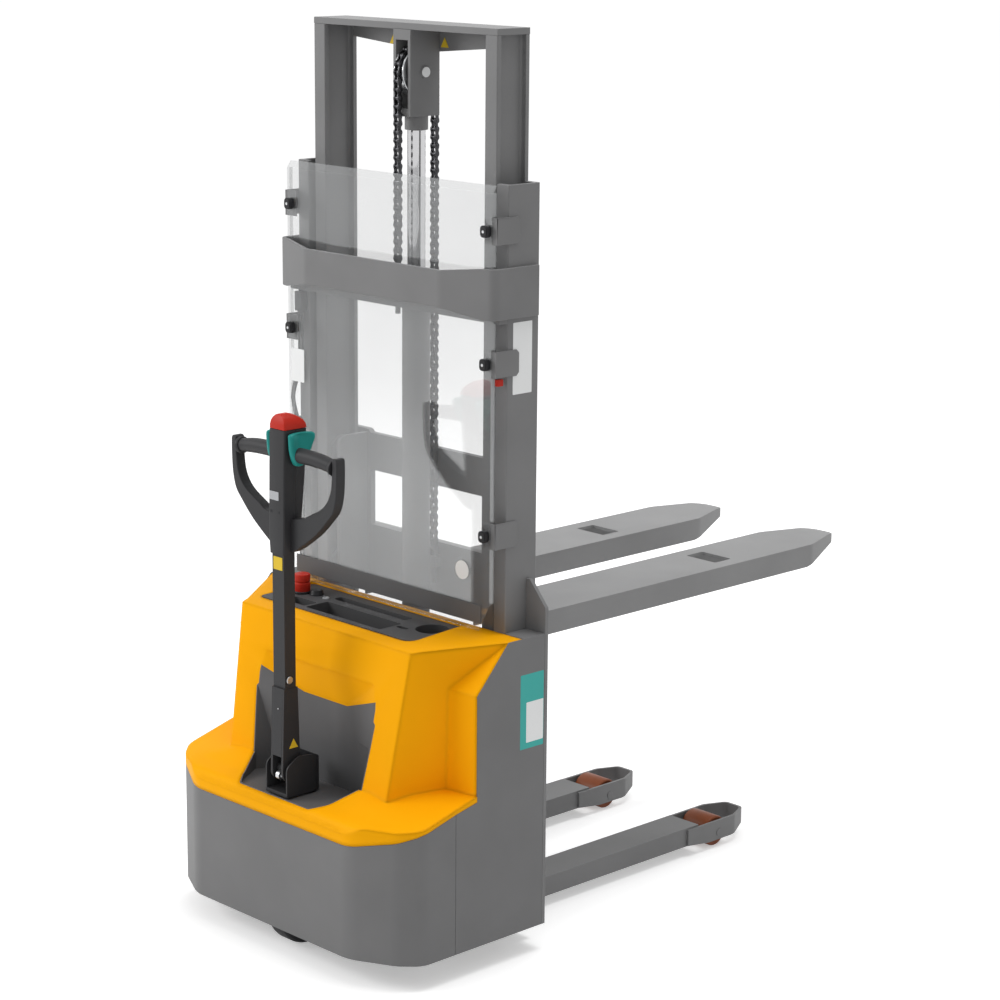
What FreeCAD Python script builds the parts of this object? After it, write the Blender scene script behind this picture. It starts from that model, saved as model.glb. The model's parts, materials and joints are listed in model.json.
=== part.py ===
import FreeCAD, Part
import math
import os

V = FreeCAD.Vector

# A walk-behind electric stacker with a two-stage mast, its forks raised part way.
# X points to the operator's right, Y towards the fork tips and Z up, in millimetres.
# The floor is z = 0 and the origin is below the middle of the machine's length and width.

# Clearances
FIT_GAP = 0.05          # a shaft in its bore, on the radius
SEAT_GAP = 0.3          # pieces that turn or slide face to face
PANEL_GAP = 1.0         # edges of body panels
ROLLER_PLAY = 1.0       # a mast roller in its channel, on the radius
ROLLER_SIDE_GAP = 5.0   # a mast roller's end from the channel's web

# Body
SKIRT_FRONT_Y = -870.0
BODY_HALF_WIDTH = 425.0
BODY_BOTTOM_Z = 62.0
SKIRT_SHEET = 3.0
SKIRT_NOSE_HALF = 278.0
SKIRT_CORNER_X = 394.0
SKIRT_CORNER_Y = -828.0
SKIRT_SIDE_Y = -774.0
SKIRT_REAR_Y = -675.0
SKIRT_NOSE_TOP_Z = 330.0
SKIRT_SIDE_TOP_Z = 371.0
SKIRT_REAR_TOP_Z = 398.0
PANEL_SHEET = 4.0
PANEL_REAR_Y = -400.0
PANEL_STEP_Y = -610.0
PANEL_STEP_TOP_Z = 659.0
PANEL_SLOPE_Y = -513.0
PANEL_TOP_Z = 767.0
COVER_WALL = 4.0
COVER_REAR_Y = -467.0
COVER_TOP_Z = 765.0
HUMP_Z = 402.0

# Niche that the tiller stands in
NICHE_FLOOR_Z = 372.0
NICHE_BACK_Y = -712.0
NICHE_BACK_HALF = 96.0
NICHE_TOP_Z = 582.0
NICHE_LIP_Z = 624.0
NICHE_LIP_HALF = 213.0
NICHE_LOW_HALF = 188.0
LINER_WALL = 3.0

# Tray on top of the cover
TRAY_LEFT_X = -226.0
TRAY_RIGHT_X = 235.0
TRAY_FRONT_Y = -638.0
TRAY_REAR_Y = -484.0
TRAY_DEPTH = 72.0
TRAY_RIM = 5.0
TRAY_RIM_RISE = 1.5
TRAY_TOP_Z = 757.0
POCKET_DEPTH = 34.0
CUP_X = 193.0
CUP_Y = -533.0
CUP_RADIUS = 33.0
CUP_DEPTH = 62.0

# Chassis
DECK_Z = 318.0
DECK_PLATE = 8.0
RAIL_HALF = 150.0
RAIL_PLATE = 8.0
RAIL_BOTTOM_Z = 120.0
BULKHEAD_PLATE = 8.0
DECK_WIDE_HALF = 300.0
DECK_WIDE_Y = -640.0

# Outer mast
MAST_FRONT_Y = -466.0
MAST_DEPTH = 97.0
MAST_HALF_WIDTH = 361.0
MAST_FLANGE = 38.0
MAST_FLANGE_PLATE = 12.0
MAST_WEB = 8.0
MAST_BOTTOM_Z = 28.0
MAST_TOP_Z = 1787.0
FOOT_TOP_Z = 77.0
FOOT_WALL = 10.0

# Inner mast
INNER_FRONT_Y = -456.0
INNER_DEPTH = 100.0
INNER_HALF_WIDTH = 311.0
INNER_FLANGE = 39.0
INNER_FLANGE_PLATE = 12.0
INNER_WEB = 9.0
INNER_BOTTOM_Z = 420.0
INNER_TOP_Z = 2123.0
TOP_PLATE = 15.0
TOP_WEB_END_Z = 2077.0
TOP_WEB_MID_Z = 2056.0
TOP_WEB_PLATE = 6.0

# Lift cylinder
RAM_Y = -413.0
BARREL_RADIUS = 33.0
BARREL_TOP_Z = 1538.0
BARREL_BORE = 25.0
ROD_RADIUS = 21.0
ROD_BOTTOM_Z = 500.0
COLLAR_RADIUS = 27.0
COLLAR_LENGTH = 32.0

# Chain and its pulley
PULLEY_Z = 2012.0
PULLEY_PITCH_RADIUS = 57.0
PULLEY_FLANGE_RADIUS = 56.0
PULLEY_HALF_WIDTH = 16.0
PULLEY_PIN_RADIUS = 14.0
CHAIN_HALF_WIDTH = 9.0
CHAIN_HALF_DEPTH = 7.0
CHAIN_PITCH = 19.05
FRONT_ANCHOR_Z = 1530.0
REAR_ANCHOR_Z = 864.0
HEAD_HALF_WIDTH = 29.0
HEAD_WALL = 9.0
HEAD_HALF_DEPTH = 45.0
HEAD_BOTTOM_Z = 1912.0

# Cross bar round the front of the mast, and the shield behind it
BAR_FRONT_Y = -556.0
BAR_NOSE_HALF = 232.0
BAR_CORNER_Y = -516.0
BAR_REAR_Y = -378.0
BAR_PLATE = 10.0
BAR_LOW_Z = 1491.0
BAR_HIGH_Z = 1605.0
BAR_NOSE_LOW_Z = 1510.0
BAR_NOSE_HIGH_Z = 1594.0
TIE_LOW_Z = 1480.0
TIE_HIGH_Z = 1560.0
TIE_FRONT_Y = -492.0
TIE_PLATE = 12.0
SHIELD_FRONT_Y = -508.0
SHIELD_SHEET = 4.0
SHIELD_HALF_WIDTH = 352.0
SHIELD_LOW_Z = 772.0
SHIELD_CUT_Z = 840.0
SHIELD_CUT_HALF = 316.0
SHIELD_TOP_Z = 1771.0
SHIELD_FOLD = 10.0
KNOB_X = 338.0
KNOB_ROWS_Z = (1687.0, 1390.0, 997.0)
KNOB_RADIUS = 12.0
KNOB_LENGTH = 14.0
CLIP_HEIGHT = 44.0
CLIP_PLATE = 3.0

# Carriage and forks
CARRIAGE_FRONT_Y = -345.0
CARRIAGE_PLATE = 20.0
CARRIAGE_HALF_WIDTH = 314.0
CARRIAGE_POST = 74.0
LOWER_CROSS_LOW_Z = 755.0
LOWER_CROSS_HIGH_Z = 896.0
UPPER_CROSS_LOW_Z = 1033.0
UPPER_CROSS_HIGH_Z = 1125.0
CARRIAGE_TOP_Z = 1133.0
CHEEK_PLATE = 12.0
FORK_CENTRE_X = 196.0
FORK_WIDTH = 180.0
FORK_TOP_Z = 765.0
FORK_DEPTH = 58.0
FORK_WALL = 8.0
FORK_TIP_Y = 870.0
FORK_TAPER_Y = 715.0
FORK_HEEL_Y = -282.0
FORK_TIP_THICK = 24.0
FORK_HOLE_Y = 382.0
FORK_HOLE_LENGTH = 61.0
FORK_HOLE_WIDTH = 98.0

# Support arms and load rollers
ARM_WIDTH = 98.0
ARM_LOW_Z = 28.0
ARM_TOP_Z = 77.0
ARM_END_Y = 345.0
ARM_WALL = 8.0
BRACKET_PLATE = 7.0
BRACKET_WIDTH = ARM_WIDTH + 2 * BRACKET_PLATE
BRACKET_REAR_Y = 300.0
BRACKET_TIP_Y = 540.0
BRACKET_TAPER_Y = 478.0
BRACKET_TIP_WIDTH = 56.0
BRACKET_LOW_Z = 21.0
BRACKET_TOP_Z = 73.0
ROLLER_Y = 418.0
ROLLER_RADIUS = 40.0
ROLLER_WIDTH = 84.0
ROLLER_PIN_RADIUS = 10.0

# Steering, drive and tiller
STEER_Y = -770.0
DRIVE_RADIUS = 88.0
DRIVE_WIDTH = 54.0
DRIVE_AXLE_RADIUS = 15.0
DRIVE_NECK_RADIUS = 62.0
DRIVE_FLANGE_RADIUS = 75.0
DRIVE_FLANGE = 9.0
MOTOR_RADIUS = 58.0
STEER_SHAFT_RADIUS = 28.0
DOME_RADIUS = 41.0
DOME_BOTTOM_Z = 377.0
DOME_TOP_Z = 470.0
TILT_Y = -815.0
TILT_Z = 435.0
TILT_BOLT_RADIUS = 7.0
LUG_HALF_WIDTH = 14.0
STALK_HALF_WIDTH = 23.5
SLEEVE_HALF_DEPTH = 27.0
SLEEVE_WALL = 6.0
SLEEVE_TOP_Z = 630.0
STALK_HALF_DEPTH = 18.0
HEAD_LOW_Z = 948.0
HEAD_HIGH_Z = 1235.0
HEAD_HALF_X = 30.0
HEAD_FRONT_Y = -838.0
HEAD_REAR_Y = -776.0
BUTTON_TOP_Z = 1268.0
LOOP_RADIUS = 15.0
GRIP_RADIUS = 17.0
LOOP_Y = -808.0

# Castors
CASTOR_X = 290.0
CASTOR_Y = -700.0
CASTOR_TRAIL = 35.0
CASTOR_RADIUS = 65.0
CASTOR_WIDTH = 46.0
CASTOR_AXLE_RADIUS = 8.0
CASTOR_FORK_PLATE = 5.0
CASTOR_STEM_RADIUS = 12.0
CASTOR_NECK_RADIUS = 30.0
SHELF_Z = 158.0
SHELF_PLATE = 10.0

# Heavy closed units
BATTERY_HALF_WIDTH = 280.0
BATTERY_FRONT_Y = -632.0
BATTERY_TOP_Z = 668.0
HYDRAULIC_HALF_WIDTH = 135.0
HYDRAULIC_FRONT_Y = -630.0
HYDRAULIC_LOW_Z = 128.0

SIDES = (("left", -1), ("right", 1))

PLACES = {
    "xy": (lambda p: V(p.x, p.y, 0), V(0, 0, 1)),
    "xz": (lambda p: V(p.x, 0, p.y), V(0, 1, 0)),
    "yz": (lambda p: V(0, p.x, p.y), V(1, 0, 0)),
}


def outline(plane, corners):
    """Closed wire through (u, v) or (u, v, radius) corners; a radius makes a tangent arc."""
    place = PLACES[plane][0]
    stops = []
    for index, corner in enumerate(corners):
        here = V(corner[0], corner[1], 0)
        before = corners[index - 1]
        after = corners[(index + 1) % len(corners)]
        if len(corner) == 2:
            stops.append((here, None, here))
            continue
        to_before = (V(before[0], before[1], 0) - here).normalize()
        to_after = (V(after[0], after[1], 0) - here).normalize()
        half = to_before.getAngle(to_after) / 2
        reach = corner[2] / math.tan(half)
        bulge = corner[2] / math.sin(half) - corner[2]
        middle = here + (to_before + to_after).normalize() * bulge
        stops.append((here + to_before * reach, middle, here + to_after * reach))
    edges = []
    for index, (start, middle, end) in enumerate(stops):
        if middle is not None:
            edges.append(Part.Arc(place(start), place(middle), place(end)).toShape())
        following = stops[(index + 1) % len(stops)][0]
        if end.distanceToPoint(following) > 0.001:
            edges.append(Part.LineSegment(place(end), place(following)).toShape())
    return Part.Wire(edges)


def prism(plane, corners, low, high):
    """The outline's area, drawn out from low to high across its plane."""
    across = PLACES[plane][1]
    face = Part.Face(outline(plane, corners))
    face.translate(across * low)
    return face.extrude(across * (high - low))


def block(x0, x1, y0, y1, z0, z1):
    return Part.makeBox(x1 - x0, y1 - y0, z1 - z0, V(x0, y0, z0))


def rod(start, end, radius):
    """A round bar from one centre point to the other."""
    start = V(*start)
    run = V(*end) - start
    return Part.makeCylinder(radius, run.Length, start, run)


def ring(start, end, outer, inner):
    return rod(start, end, outer).cut(rod(start, end, inner))


def join(pieces):
    """One solid, or a few apart, from pieces that touch or overlap."""
    whole = pieces[0].fuse(pieces[1:]) if len(pieces) > 1 else pieces[0]
    return whole.removeSplitter()


def mirrored(shape):
    return shape.mirror(V(0, 0, 0), V(1, 0, 0))


def both(shape):
    """The right-hand shape with its left-hand twin."""
    return Part.makeCompound([shape, mirrored(shape)])


def sided(shape, side):
    return shape if side > 0 else mirrored(shape)


def bent_tube(points, radius, bend):
    """A round tube along straight runs with a tangent arc of the given bend at each corner."""
    points = [V(*point) for point in points]
    edges = []
    start = points[0]
    for index in range(1, len(points) - 1):
        here = points[index]
        back = (points[index - 1] - here).normalize()
        ahead = (points[index + 1] - here).normalize()
        half = back.getAngle(ahead) / 2
        reach = bend / math.tan(half)
        middle = here + (back + ahead).normalize() * (bend / math.sin(half) - bend)
        edges.append(Part.LineSegment(start, here + back * reach).toShape())
        arc = Part.Arc(here + back * reach, middle, here + ahead * reach)
        edges.append(arc.toShape())
        start = here + ahead * reach
    edges.append(Part.LineSegment(start, points[-1]).toShape())
    path = Part.Wire(edges)
    section = Part.Wire([Part.makeCircle(radius, points[0], points[1] - points[0])])
    return path.makePipeShell([section], True, True)


def save(node, shape):
    shape.exportStep("parts/" + node + ".step")


# Body panels

def body_corners(inset):
    """Half of the body's outline seen from above, from the nose to the rear."""
    return [
        (0, SKIRT_FRONT_Y + inset),
        (SKIRT_NOSE_HALF - inset * 0.2, SKIRT_FRONT_Y + inset, 60),
        (SKIRT_CORNER_X - inset * 0.8, SKIRT_CORNER_Y + inset * 0.7, 30),
        (BODY_HALF_WIDTH - inset, SKIRT_SIDE_Y + inset * 0.3, 40),
    ]


def body_prism(inset, rear_y, low, high):
    """The body's outline as a solid, each face moved in by the inset."""
    right = body_corners(inset)
    left = [(-c[0],) + tuple(c[1:]) for c in reversed(right[1:])]
    rear = [(BODY_HALF_WIDTH - inset, rear_y), (-BODY_HALF_WIDTH + inset, rear_y)]
    return prism("xy", right[1:] + rear + left, low, high)


def below_seam(lift):
    """All that lies under the seam between the grey skirt and the cover."""
    return prism("yz", [
        (SKIRT_FRONT_Y - 50, 0),
        (SKIRT_FRONT_Y - 50, SKIRT_NOSE_TOP_Z + lift),
        (SKIRT_FRONT_Y, SKIRT_NOSE_TOP_Z + lift),
        (SKIRT_SIDE_Y, SKIRT_SIDE_TOP_Z + lift),
        (SKIRT_REAR_Y, SKIRT_REAR_TOP_Z + lift),
        (PANEL_STEP_Y, SKIRT_REAR_TOP_Z + 14 + lift),
        (0, SKIRT_REAR_TOP_Z + 14 + lift),
        (0, 0),
    ], -BODY_HALF_WIDTH - 50, BODY_HALF_WIDTH + 50)


def front_skirt():
    outer = body_prism(0, SKIRT_REAR_Y, BODY_BOTTOM_Z, SKIRT_REAR_TOP_Z)
    inner = body_prism(SKIRT_SHEET, SKIRT_REAR_Y + 1, BODY_BOTTOM_Z - 1, SKIRT_REAR_TOP_Z + 1)
    return outer.cut(inner).common(below_seam(0))


def panel_shape(grow):
    """The side panel's outline, grown to leave the cover its edge gap."""
    seam_step_z = SKIRT_REAR_TOP_Z + 14
    return [
        (SKIRT_REAR_Y, BODY_BOTTOM_Z),
        (SKIRT_REAR_Y, SKIRT_REAR_TOP_Z + grow),
        (PANEL_STEP_Y - grow, seam_step_z + grow),
        (PANEL_STEP_Y - grow, PANEL_STEP_TOP_Z),
        (PANEL_SLOPE_Y - grow, PANEL_TOP_Z + grow),
        (PANEL_REAR_Y, PANEL_TOP_Z + grow),
        (PANEL_REAR_Y, BODY_BOTTOM_Z),
    ]


def side_panel():
    inner_x = BODY_HALF_WIDTH - PANEL_SHEET
    sheet = prism("yz", panel_shape(0), inner_x, BODY_HALF_WIDTH)
    lid = block(MAST_HALF_WIDTH + PANEL_GAP, BODY_HALF_WIDTH, COVER_REAR_Y + PANEL_GAP,
                PANEL_REAR_Y, PANEL_TOP_Z - PANEL_SHEET, PANEL_TOP_Z)
    return join([sheet, lid])


def bumper(inset):
    """The cover's broad lower part, with its top rising to the tower."""
    outer = body_prism(inset, PANEL_STEP_Y, SKIRT_NOSE_TOP_Z - 40, HUMP_Z + 40)
    top = prism("yz", [
        (SKIRT_FRONT_Y - 50, 0),
        (SKIRT_FRONT_Y - 50, SKIRT_NOSE_TOP_Z + 8 - inset),
        (SKIRT_FRONT_Y, SKIRT_NOSE_TOP_Z + 8 - inset, 6),
        (SKIRT_FRONT_Y + 14, SKIRT_NOSE_TOP_Z + 16 - inset, 16),
        (SKIRT_FRONT_Y + 62, SKIRT_NOSE_TOP_Z + 42 - inset, 60),
        (SKIRT_FRONT_Y + 133, HUMP_Z - inset, 80),
        (PANEL_STEP_Y, HUMP_Z + 10 - inset),
        (PANEL_STEP_Y, 0),
    ], -BODY_HALF_WIDTH - 50, BODY_HALF_WIDTH + 50)
    return outer.common(top)


def tower(inset):
    """The cover's upper part: ridged front corners that flare back to the full width."""
    rear_y = COVER_REAR_Y
    # height, then x and y of the front ridge, the foot of the recess, the flare's start and its end
    levels = (
        (330.0, 279, -755, 318, -722, 356, -668, 425, -610),
        (430.0, 284, -741, 316, -710, 350, -660, 425, -610),
        (PANEL_STEP_TOP_Z, 299, -708, 312, -688, 338, -640, 425, -610),
        (COVER_TOP_Z, 303, -694, 311, -676, 330, -628, 419, -513),
    )
    sections = []
    for level in levels:
        z = level[0] - (inset if level[0] == COVER_TOP_Z else 0)
        half = []
        for x, y in zip(level[1::2], level[2::2]):
            half.append(V(x - inset, y + inset, z))
        half.append(V(half[-1].x, rear_y + (1 if inset else 0), z))
        points = half + [V(-p.x, p.y, z) for p in reversed(half)]
        sections.append(Part.makePolygon(points + [points[0]]))
    return Part.makeLoft(sections, True, True)


def niche_space(grow):
    """The hollow that the tiller stands in, grown by its liner's wall."""
    low_z = NICHE_FLOOR_Z - grow
    sections = []
    # height, half width at the mouth and the mouth's y
    for z, mouth, mouth_y in ((low_z, 176, -790), (NICHE_LIP_Z + grow, NICHE_LIP_HALF, -723)):
        half = [V(NICHE_BACK_HALF + grow, NICHE_BACK_Y + grow, z), V(mouth + grow, mouth_y, z)]
        half.append(V(mouth - 30, SKIRT_FRONT_Y + 20, z))
        points = half + [V(-p.x, p.y, z) for p in reversed(half)]
        sections.append(Part.makePolygon(points + [points[0]]))
    return Part.makeLoft(sections, True, True)


def tray_hole(grow):
    corners = [(TRAY_LEFT_X - grow, TRAY_FRONT_Y - grow, 18), (TRAY_RIGHT_X - 30, TRAY_FRONT_Y - grow, 18),
               (TRAY_RIGHT_X + grow, TRAY_FRONT_Y + 30, 12), (TRAY_RIGHT_X + grow, TRAY_REAR_Y + grow, 12),
               (TRAY_LEFT_X - grow, TRAY_REAR_Y + grow, 12)]
    return prism("xy", corners, TRAY_TOP_Z - TRAY_DEPTH, COVER_TOP_Z + 40)


def cover():
    shell = join([bumper(0), tower(0)])
    shell = shell.cut(bumper(COVER_WALL))
    shell = shell.cut(tower(COVER_WALL))
    shell = shell.cut(below_seam(PANEL_GAP / 4))
    for grow_side in (1, -1):
        edge = prism("yz", panel_shape(PANEL_GAP / 4), BODY_HALF_WIDTH - PANEL_SHEET - COVER_WALL,
                     BODY_HALF_WIDTH + 5)
        shell = shell.cut(sided(edge, grow_side))
    shell = shell.cut(niche_space(LINER_WALL))
    shell = shell.cut(tray_hole(PANEL_GAP / 4))
    return max(shell.Solids, key=lambda solid: solid.Volume)


def niche_liner():
    walls = niche_space(LINER_WALL - SEAT_GAP).cut(niche_space(0))
    inside = join([bumper(0), tower(0)])
    walls = walls.common(inside)
    walls = walls.cut(rod((0, STEER_Y, 0), (0, STEER_Y, DOME_TOP_Z), STEER_SHAFT_RADIUS + 6))
    return max(walls.Solids, key=lambda solid: solid.Volume)


def top_tray():
    tray = tray_hole(0).common(block(-500, 500, -900, 0, 0, COVER_TOP_Z + TRAY_RIM_RISE))
    tray = tray.cut(tray_hole(-TRAY_RIM).common(block(-500, 500, -900, 0, TRAY_TOP_Z, COVER_TOP_Z + 40)))
    pocket_z = TRAY_TOP_Z - POCKET_DEPTH
    # left, right, front, rear of each pocket
    pockets = ((-150, -104, -622, -560), (-88, 112, -622, -560), (-160, 96, -538, -516),
               (112, 170, -600, -582))
    for x0, x1, y0, y1 in pockets:
        corners = [(x0, y0, 8), (x1, y0, 8), (x1, y1, 8), (x0, y1, 8)]
        tray = tray.cut(prism("xy", corners, pocket_z, TRAY_TOP_Z + 1))
    cup = rod((CUP_X, CUP_Y, TRAY_TOP_Z - CUP_DEPTH), (CUP_X, CUP_Y, TRAY_TOP_Z + 1), CUP_RADIUS)
    return tray.cut(cup)


def emergency_stop():
    x, y, z = -263.0, -546.0, COVER_TOP_Z
    base = rod((x, y, z), (x, y, z + 16), 22)
    neck = rod((x, y, z + 16), (x, y, z + 30), 13)
    cap = rod((x, y, z + 30), (x, y, z + 48), 20)
    return join([base, neck, cap])


def key_switch():
    z = TRAY_TOP_Z
    barrel = rod((-206, -552, z), (-206, -552, z + 8), 11)
    key = block(-208, -204, -562, -542, z + 8, z + 24)
    lock = rod((-176, -575, z), (-176, -575, z + 5), 9)
    return Part.makeCompound([join([barrel, key]), lock])


# Chassis

def chassis_frame():
    deck_top = DECK_Z + DECK_PLATE
    rail_front = SKIRT_FRONT_Y + SKIRT_SHEET
    bulkhead_y = MAST_FRONT_Y - BULKHEAD_PLATE
    rail_outer = RAIL_HALF + RAIL_PLATE
    pieces = [
        block(-rail_outer, rail_outer, rail_front, bulkhead_y, DECK_Z, deck_top),
        block(-DECK_WIDE_HALF, DECK_WIDE_HALF, DECK_WIDE_Y, bulkhead_y, DECK_Z, deck_top),
        block(-MAST_HALF_WIDTH, MAST_HALF_WIDTH, bulkhead_y, MAST_FRONT_Y, BODY_BOTTOM_Z,
              COVER_TOP_Z - COVER_WALL - PANEL_GAP),
    ]
    for side in (1, -1):
        rail = block(RAIL_HALF, rail_outer, rail_front, bulkhead_y, RAIL_BOTTOM_Z, DECK_Z)
        shelf = prism("xy", [
            (rail_outer, CASTOR_Y - 70), (CASTOR_X + 20, CASTOR_Y - 70, 20),
            (CASTOR_X + 60, CASTOR_Y - 30, 20), (CASTOR_X + 60, CASTOR_Y + 60, 20),
            (rail_outer, CASTOR_Y + 60)], SHELF_Z, SHELF_Z + SHELF_PLATE)
        gusset = prism("xz", [(rail_outer, SHELF_Z + SHELF_PLATE), (CASTOR_X + 40, SHELF_Z + SHELF_PLATE),
                              (rail_outer, DECK_Z - 20)], CASTOR_Y + 52, CASTOR_Y + 60)
        wing = join([rail, shelf, gusset])
        stem_hole = rod((CASTOR_X, CASTOR_Y, SHELF_Z - 1), (CASTOR_X, CASTOR_Y, SHELF_Z + SHELF_PLATE + 1),
                        CASTOR_STEM_RADIUS + FIT_GAP)
        pieces.append(sided(wing.cut(stem_hole), side))
    frame = join(pieces)
    neck_hole = rod((0, STEER_Y, DECK_Z - 1), (0, STEER_Y, deck_top + 1), DRIVE_NECK_RADIUS + SEAT_GAP)
    return frame.cut(neck_hole)


def battery_block():
    return block(-BATTERY_HALF_WIDTH, BATTERY_HALF_WIDTH, BATTERY_FRONT_Y,
                 MAST_FRONT_Y - BULKHEAD_PLATE - SEAT_GAP, DECK_Z + DECK_PLATE, BATTERY_TOP_Z)


def hydraulic_unit():
    return block(-HYDRAULIC_HALF_WIDTH, HYDRAULIC_HALF_WIDTH, HYDRAULIC_FRONT_Y,
                 MAST_FRONT_Y - BULKHEAD_PLATE - SEAT_GAP, HYDRAULIC_LOW_Z, DECK_Z)


# Outer mast

def mast_foot():
    inner_x = MAST_HALF_WIDTH - MAST_FLANGE
    rear_y = MAST_FRONT_Y + MAST_DEPTH
    beam = block(-inner_x, inner_x, MAST_FRONT_Y, rear_y, MAST_BOTTOM_Z, FOOT_TOP_Z)
    hollow = block(-inner_x - 1, inner_x + 1, MAST_FRONT_Y + FOOT_WALL, rear_y - FOOT_WALL,
                   MAST_BOTTOM_Z + FOOT_WALL, FOOT_TOP_Z - FOOT_WALL)
    return beam.cut(hollow)


def outer_upright():
    inner_x = MAST_HALF_WIDTH - MAST_FLANGE
    rear_y = MAST_FRONT_Y + MAST_DEPTH
    channel = prism("xy", [
        (inner_x, MAST_FRONT_Y), (MAST_HALF_WIDTH, MAST_FRONT_Y, 3), (MAST_HALF_WIDTH, rear_y, 3),
        (inner_x, rear_y), (inner_x, rear_y - MAST_FLANGE_PLATE),
        (MAST_HALF_WIDTH - MAST_WEB, rear_y - MAST_FLANGE_PLATE, 6),
        (MAST_HALF_WIDTH - MAST_WEB, MAST_FRONT_Y + MAST_FLANGE_PLATE, 6),
        (inner_x, MAST_FRONT_Y + MAST_FLANGE_PLATE)], MAST_BOTTOM_Z, MAST_TOP_Z)
    roller_y = INNER_FRONT_Y + INNER_DEPTH / 2
    roller_z = MAST_TOP_Z - 62
    radius = INNER_DEPTH / 2 - INNER_FLANGE_PLATE - ROLLER_PLAY
    web_face = INNER_HALF_WIDTH - (INNER_FLANGE - INNER_WEB) / 2
    shaft = rod((INNER_HALF_WIDTH, roller_y, roller_z), (MAST_HALF_WIDTH - MAST_WEB, roller_y, roller_z), 15)
    roller = rod((web_face + ROLLER_SIDE_GAP, roller_y, roller_z), (INNER_HALF_WIDTH, roller_y, roller_z), radius)
    return join([channel, shaft, roller])


def mast_bracket():
    return prism("xz", [
        (MAST_HALF_WIDTH, BODY_BOTTOM_Z), (BODY_HALF_WIDTH, BODY_BOTTOM_Z), (BODY_HALF_WIDTH, 826, 10),
        (MAST_HALF_WIDTH + 12, 885, 6), (MAST_HALF_WIDTH, 885)], PANEL_REAR_Y, PANEL_REAR_Y + 10)


def cross_bar():
    outer = [(MAST_HALF_WIDTH + BAR_PLATE, BAR_REAR_Y), (MAST_HALF_WIDTH + BAR_PLATE, BAR_CORNER_Y, 26),
             (BAR_NOSE_HALF, BAR_FRONT_Y, 60)]
    inner = [(MAST_HALF_WIDTH, BAR_REAR_Y), (MAST_HALF_WIDTH, BAR_CORNER_Y + BAR_PLATE * 0.7, 16),
             (BAR_NOSE_HALF - 2, BAR_FRONT_Y + BAR_PLATE, 50)]
    corners = outer + [(-c[0],) + tuple(c[1:]) for c in reversed(outer)]
    corners += inner_loop(inner)
    bar = prism("xy", corners, BAR_LOW_Z, BAR_HIGH_Z)
    corner_x = MAST_HALF_WIDTH - 24
    edge = prism("xz", [
        (-BAR_NOSE_HALF, BAR_NOSE_LOW_Z, 80), (BAR_NOSE_HALF, BAR_NOSE_LOW_Z, 80),
        (corner_x, BAR_LOW_Z), (BODY_HALF_WIDTH, BAR_LOW_Z), (BODY_HALF_WIDTH, BAR_HIGH_Z),
        (corner_x, BAR_HIGH_Z), (BAR_NOSE_HALF, BAR_NOSE_HIGH_Z, 80), (-BAR_NOSE_HALF, BAR_NOSE_HIGH_Z, 80),
        (-corner_x, BAR_HIGH_Z), (-BODY_HALF_WIDTH, BAR_HIGH_Z), (-BODY_HALF_WIDTH, BAR_LOW_Z),
        (-corner_x, BAR_LOW_Z)], BAR_FRONT_Y - 5, BAR_REAR_Y + 5)
    return bar.common(edge)


def inner_loop(inner):
    """The bar's inner corners, from its left end round to its right end."""
    left = [(-c[0],) + tuple(c[1:]) for c in inner]
    return left + list(reversed(inner))


def mast_tie():
    """The flat tie behind the shield, with the anchor that holds the chain's fixed end."""
    inner_x = MAST_HALF_WIDTH - MAST_FLANGE
    plate = block(-MAST_HALF_WIDTH, MAST_HALF_WIDTH, TIE_FRONT_Y, TIE_FRONT_Y + TIE_PLATE, TIE_LOW_Z, TIE_HIGH_Z)
    pads = both(block(inner_x, MAST_HALF_WIDTH, TIE_FRONT_Y + TIE_PLATE, MAST_FRONT_Y, TIE_LOW_Z, TIE_HIGH_Z))
    chain_y = RAM_Y - PULLEY_PITCH_RADIUS
    anchor = block(-14, 14, TIE_FRONT_Y + TIE_PLATE, chain_y + CHAIN_HALF_DEPTH, FRONT_ANCHOR_Z - 30, FRONT_ANCHOR_Z)
    bolt = rod((0, chain_y, FRONT_ANCHOR_Z - 70), (0, chain_y, FRONT_ANCHOR_Z - 30), 6)
    nut = rod((0, chain_y, FRONT_ANCHOR_Z - 42), (0, chain_y, FRONT_ANCHOR_Z - 30), 10).common(
        block(-12, 12, TIE_FRONT_Y + TIE_PLATE, chain_y + CHAIN_HALF_DEPTH, 0, FRONT_ANCHOR_Z))
    return join([plate, anchor, bolt, nut] + pads.Solids)


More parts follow.
